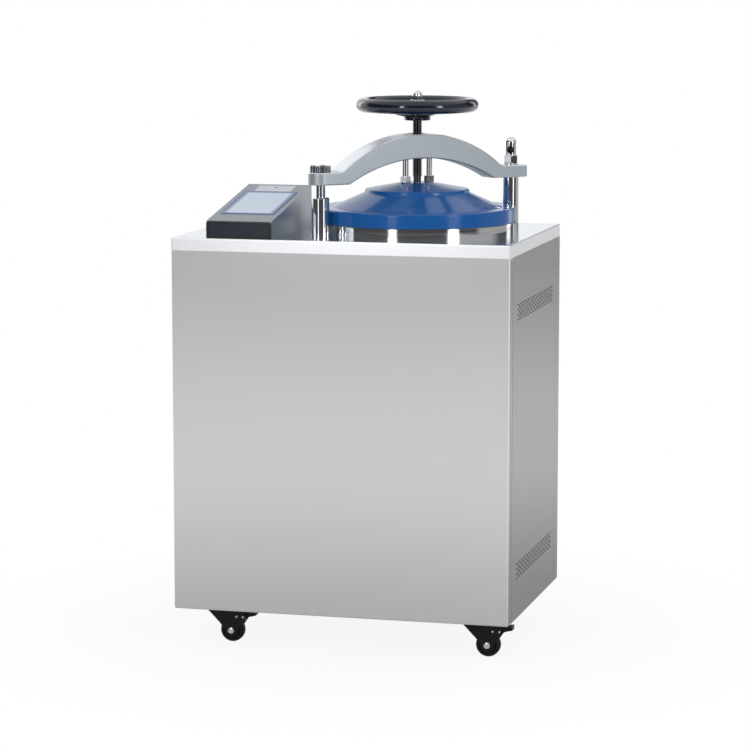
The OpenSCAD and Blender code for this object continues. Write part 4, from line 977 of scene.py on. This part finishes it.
# %% Wheel washer and cap nut
top, bore = WHEEL_TOP + 2.5, end_r + SLIP
piece("wheel_disc", lathed(
    [(bore, WHEEL_TOP, 0.3), (15, WHEEL_TOP, 0.4), (15, top, 0.6), (bore, top, 0.3)], closed=True),
    AT_VESSEL, "wheel_washer", zinc_plate)
reach, dome_r, dome_z, blind_end = hexagon(20), 9.95, 279.5, 283.6
rows = [(bore, top), (clipped(reach, 10.3), top), (clipped(reach, 11.6), top + 0.8)]
rows += [(clipped(reach, 11.6 - 0.35 * k), 278 + 0.3 * k) for k in range(6)]
rows += [(dome_r * math.cos(math.pi / 2 * k / 12), dome_z + dome_r * math.sin(math.pi / 2 * k / 12))
         for k in range(13)]
rows += [(0, blind_end), (bore, blind_end)]
piece("wheel_cap_nut", turned(scaled(rows), closed=True), AT_VESSEL, "wheel_nut", zinc_plate)
print("cap nut top", round(TOP / mm + dome_z + dome_r), "mm above the floor")

# %% [markdown]
# ## The console
# The control console is a folded wedge with a moulded black front. Its screen sits behind a thin
# blue border on a lavender film, with a pale strip above it. The housing keeps its CAD shape with
# rounded folds. The front gets a raised border by insetting its face, and thin frames lie on the
# slope, whose direction comes from the screen's own corners.

# %% Console housing and front
eased_part("console_body", console_metal, 2.0, 3)
low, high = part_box("console_front")
front_outline = rounded([(low.x, low.z, 0), (high.x, low.z, 0), (high.x, high.z, 5 * mm),
                         (low.x, high.z, 5 * mm)], closed=True, steps=8)
middle_x, middle_z = (low.x + high.x) / 2, (low.z + high.z) / 2
half_x, half_z = (high.x - low.x) / 2, (high.z - low.z) / 2


def drawn_in(inset, y):
    """The front's outline at a depth, drawn in by the same amount on each side."""
    return [(middle_x + (x - middle_x) * (1 - inset / half_x), y,
             middle_z + (z - middle_z) * (1 - inset / half_z)) for x, z in front_outline]


rings = [drawn_in(inset * mm, low.y + behind * mm) for inset, behind in (
    (0, 1.2), (0.35, 0.35), (1.2, 0), (3.4, 0), (4.2, 0.5), (4.6, 1.4))]
fascia = piece("console_fascia", loft([drawn_in(0, high.y)] + rings, caps=True), Matrix(),
               "console_front", fascia_black, 25)
border_w = 4.4 * mm
refinish(fascia, border_black, lambda face: abs(face.center.x - middle_x) > half_x - border_w
         or abs(face.center.z - middle_z) > half_z - border_w)
print("console front", round(2 * half_x / mm), "by", round(2 * half_z / mm), "mm")

# %% Console slope
screen = frame["nodes"]["touch_screen"].data
points = [v.co for v in screen.vertices]
screen_lo, screen_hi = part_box("touch_screen")
crest = [p for p in points if p.z > screen_hi.z - 0.5 * mm]
face_normal = max(screen.polygons, key=lambda f: f.area if f.normal.z > 0.5 else 0).normal.copy()
lean = math.atan2(-face_normal.y, face_normal.z)
far_edge = Vector(((screen_lo.x + screen_hi.x) / 2, max(p.y for p in crest), screen_hi.z))
AT_SLOPE = Matrix.Translation(far_edge) @ Matrix.Rotation(lean, 4, "X")
print("slope leans", round(math.degrees(lean), 2), "degrees")


def flat_frame(width, length, lip, low_z, high_z, edge=0.25):
    """A flat frame, or a plate if it has no lip, in millimetres; its far edge is at the origin."""
    def box_ring(inset, z):
        x, y0, y1 = width / 2 - inset, -length + inset, -inset
        return [(v[0] * mm, v[1] * mm, z * mm) for v in ((x, y0), (x, y1), (-x, y1), (-x, y0))]
    rings = [box_ring(0, low_z), box_ring(0, high_z - edge), box_ring(edge, high_z)]
    if not lip:
        return loft(rings, caps=True)
    rings += [box_ring(lip - edge, high_z), box_ring(lip, high_z - edge), box_ring(lip, low_z)]
    return loft(rings + rings[:1])


# %% Screen, border and strip
screen_w = (screen_hi.x - screen_lo.x) / mm
screen_l = (screen_hi - screen_lo).yz.length / mm
film_w, film_l, lip = 112, 178, 9
hem = lip + SLIP
AT_FILM = AT_SLOPE @ Matrix.Translation((0, hem * mm, 0))
film = flat_frame(film_w, film_l, lip, -0.1, 0.35)
piece("screen_film", film, AT_FILM, "screen_bezel", bezel_blue)
border = solid("screen_border", flat_frame(film_w, film_l, 1.6, -0.1, 0.55), AT_FILM)
rides_with(tidy(border), "screen_bezel", border_blue)
pane = flat_frame(film_w - 2 * hem, film_l - 2 * hem, 0, -2.9, 0.2)
piece("screen_pane", pane, AT_SLOPE, "touch_screen", screen_pale)
AT_STRIP = AT_FILM @ Matrix.Translation((0, 50 * mm, 0))
strip = flat_frame(78.9, 41.9, 0, -0.8, 0.25)
piece("console_label", strip, AT_STRIP, "console_strip", strip_pale)
lens = turned(scaled([(0, -0.2), (3.2, -0.2), (3.2, 0.5), (2.6, 0.9), (0, 1.2)]), 48)
AT_LENS = AT_STRIP @ Matrix.Translation((0, -16 * mm, 0))
rides_with(tidy(solid("indicator_lens", lens, AT_LENS)), "console_strip", lens_dark)
print("screen", round(screen_w), "by", round(screen_l), "mm")

# %% [markdown]
# ## The casters
# Each caster is a stamped fork on a ball race, with a black wheel on a bright riveted axle, and the
# two front ones have a brake pedal. Four joined copies would be lighter, but each fork, wheel and
# pedal moves on its own joint, so each gets its own pieces. The wheels are turned with a rounded
# tread and a raised hub.

# %% Caster wheel, axle and rivet
half_profile = [(4.05, 11.2, 0.4), (9.5, 11.2, 0.8), (10.2, 9.4, 0.5), (15, 8.6, 1), (16.5, 8.6, 1),
                (18.2, 10, 0.8), (21.6, 10, 3.2), (25, 6.2, 5)]
other_half = [(radius, -across, fillet) for radius, across, fillet in half_profile]
tyre = lathed(other_half + half_profile[::-1], closed=True, fine=3)
half_axle = [(0, 19.2, 0), (3.2, 19.2, 1), (6.5, 17.6, 0.5), (6.5, 14, 0), (4, 14, 0)]
other_half = [(radius, -across, fillet) for radius, across, fillet in half_axle]
axle = lathed(other_half + half_axle[::-1], 48, fine=3)
rivet = turned(scaled([(0, 13.9), (2.6, 13.9), (2.6, 14.3), (2.0, 15.1), (1.0, 15.5),
                       (0, 15.6)]), 24)
print("tyre points", len(tyre[0]))

# %% Four casters
rivets_up = 29
on_side = Matrix.Rotation(math.pi / 2, 4, "X")
for corner_name in ("front_left", "front_right", "rear_left", "rear_right"):
    low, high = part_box("wheel_" + corner_name)
    place = Matrix.Translation((low + high) / 2) @ on_side
    piece("tyre_" + corner_name, tyre, place, "wheel_" + corner_name, tyre_black)
    piece("rivet_" + corner_name, axle, place, "axle_" + corner_name, axle_steel)
    eased_part("fork_" + corner_name, caster_black, 0.5)
    if corner_name.startswith("front"):
        eased_part("pedal_" + corner_name, caster_black, 0.7)
        for part, across in (("fork_", 11), ("pedal_", 25)):
            middle = place @ Matrix.Translation((across * mm, rivets_up * mm, 0))
            heads = [moved(rivet, middle @ Matrix.Rotation(turn, 4, "X")) for turn in (0, math.pi)]
            rides_with(tidy(solid(part + "rivets_" + corner_name, together(*heads))),
                       part + corner_name, axle_steel)
eased_part("caster_plates", caster_black, 0.6)
print("casters 4")

# %% [markdown]
# ## The fittings at the back
# A brass drain valve with a red lever, a cable gland, the power switch and the steam outlet sit on
# the rear panel. Their CAD shapes are right, so they keep them, with the corners rounded a little.

# %% Rear fittings
fittings = {"drain_valve": 0.7, "drain_lever": 0.8, "mains_gland": 0.6, "switch_frame": 0.5,
            "power_rocker": 0.4}
for node_name, width in fittings.items():
    eased_part(node_name, FINISH_OF[SLOT_OF[node_name]], width)
print("rear fittings", len(fittings))

# %% [markdown]
# ## The studio
# The photograph shows a white studio: two tall soft boxes in front, which draw bright stripes on
# every round part, a pale ceiling, a bright wall behind on the left, a grey one on the right and a
# darker room in front. Real lamps would light the floor unevenly, so the floor turns white for the
# camera with distance, and near the machine it keeps a soft shadow. Polished metal sees a floor of
# its own: brightest two to three metres out, dark far in front, and bright far behind on the left.
# The world is white for the camera, and the room that metal sees is the same from every side.


# %% Floor
def light_path(made, output):
    """1 for one kind of ray and 0 for the others."""
    return made.node("LightPath", output=output)


floor = Finish(bpy.data.materials.new("studio_floor"))
floor.tree.nodes.clear()
seen = light_path(floor, "Is Camera Ray")
mirrored = light_path(floor, "Is Glossy Ray") + light_path(floor, "Is Transmission Ray")
place = floor.spot()
distance = floor.node("VectorMath", {"operation": "LENGTH"}, {0: place}, "Value")
east, north = (floor.node("SeparateXYZ", None, {0: place}, i) for i in (0, 1))
behind = north.between(-1.0, 1.0)
behind_left = behind * (1 - east.between(0.0, 2.0))
lit_pool = distance.between(0.4, 2.4) * 0.60 - distance.between(3.0, 6.5) * 0.40
lit_pool = lit_pool - distance.between(6.6, 8.2) * (0.55 - behind * 0.35 - behind_left * 0.2)
lit_pool = lit_pool + distance.between(10.0, 16.0) * behind_left * 0.4
paper = floor.node("BsdfDiffuse", None, {"Color": (0.80, 0.80, 0.80, 1)})
glow = floor.node("Emission", None, {"Color": (1, 1, 1, 1), "Strength": 1.0})
dark = floor.node("Emission", None, {"Color": (0, 0, 0, 1), "Strength": 0.0})
whiteness = seen * (distance.between(0.3, 1.0) * 0.1 + 0.9)
in_view = floor.node("MixShader", None, {0: whiteness, 1: paper, 2: glow})
in_metal = floor.node("MixShader", None, {0: lit_pool + 0.41, 1: dark, 2: glow})
blend = floor.node("MixShader", None, {0: mirrored, 1: in_view, 2: in_metal})
floor.node("OutputMaterial", None, {"Surface": blend})
far = 30
ground = solid("floor", ([(-far, -far, 0), (far, -far, 0), (far, far, 0), (-far, far, 0)],
                         [(0, 1, 2, 3)]))
ground.data.materials.append(floor.holder)
print("floor", len(ground.data.polygons), "face")

# %% World
world = bpy.data.worlds.new("studio")
bpy.context.scene.world = world
room = Finish(world)
room.tree.nodes.clear()
direction = room.node("TexCoord", output="Generated")
x, y, z = (room.node("SeparateXYZ", None, {0: direction}, i) for i in range(3))
left_wall = 1 - x.between(-0.42, -0.32)
screen_behind = (y - x * 0.9).between(0.9, 1.1) * (1 - z.between(0.20, 0.45) * (1 - left_wall))
ceiling = z.between(0.48, 0.60) * 0.85
grey_side = x.between(0.75, 0.95) * 0.4
walls = room.mix(screen_behind + grey_side, (0.08, 0.085, 0.095, 1), (0.95, 0.96, 0.98, 1))
studio = room.mix(ceiling, walls, (1, 1, 1, 1))
seen = light_path(room, "Is Camera Ray")
mirrored = light_path(room, "Is Glossy Ray") + light_path(room, "Is Transmission Ray")
soft = room.mix(mirrored, (0.62, 0.63, 0.65, 1), studio)
everything = room.mix(seen, soft, (1, 1, 1, 1))
backdrop = room.node("Background", None, {"Color": everything, "Strength": 1.0})
room.node("OutputWorld", None, {"Surface": backdrop})
print("world ready")

# %% [markdown]
# ## The lamps
# Area lamps show in polished metal as bright panels, which is what a photographer's soft box does.
# A sun lamp would be simpler, but it would leave chrome dark. The two front boxes stand where the
# stripes on the neck ring say they stood. Each has a small bright core, as a lamp behind its cloth
# has, which gives the crisp highlights on the wheel's rim. Two weaker boxes behind serve the other
# views.


# %% Lamps
def soft_box(name, azimuth, distance, width, height, middle, glow):
    """An upright area lamp that faces the machine; glow is how bright its face looks."""
    lamp = bpy.data.lights.new(name, "AREA")
    lamp.shape = "RECTANGLE"
    lamp.size, lamp.size_y = width, height
    lamp.energy = glow * math.pi * width * height
    obj = bpy.data.objects.new(name, lamp)
    bpy.context.scene.collection.objects.link(obj)
    angle = math.radians(azimuth)
    obj.location = (math.sin(angle) * distance, -math.cos(angle) * distance, middle)
    facing = Vector((0, 0, 0.8)) - obj.location
    obj.rotation_euler = facing.to_track_quat("-Z", "Y").to_euler()
    obj.visible_camera = False


left, right = -12.7, 56.7
soft_box("box_left", left, 3.2, 0.60, 2.5, 1.70, 1.5)
soft_box("box_right", right, 3.2, 0.80, 2.5, 1.70, 1.5)
soft_box("core_left", left, 3.1, 0.30, 0.8, 1.50, 13.0)
soft_box("core_right", right, 3.1, 0.36, 0.8, 1.50, 13.0)
soft_box("box_back_left", -125, 3.4, 0.8, 2.2, 1.6, 1.4)
soft_box("box_back_right", 150, 3.4, 0.8, 2.2, 1.6, 1.2)
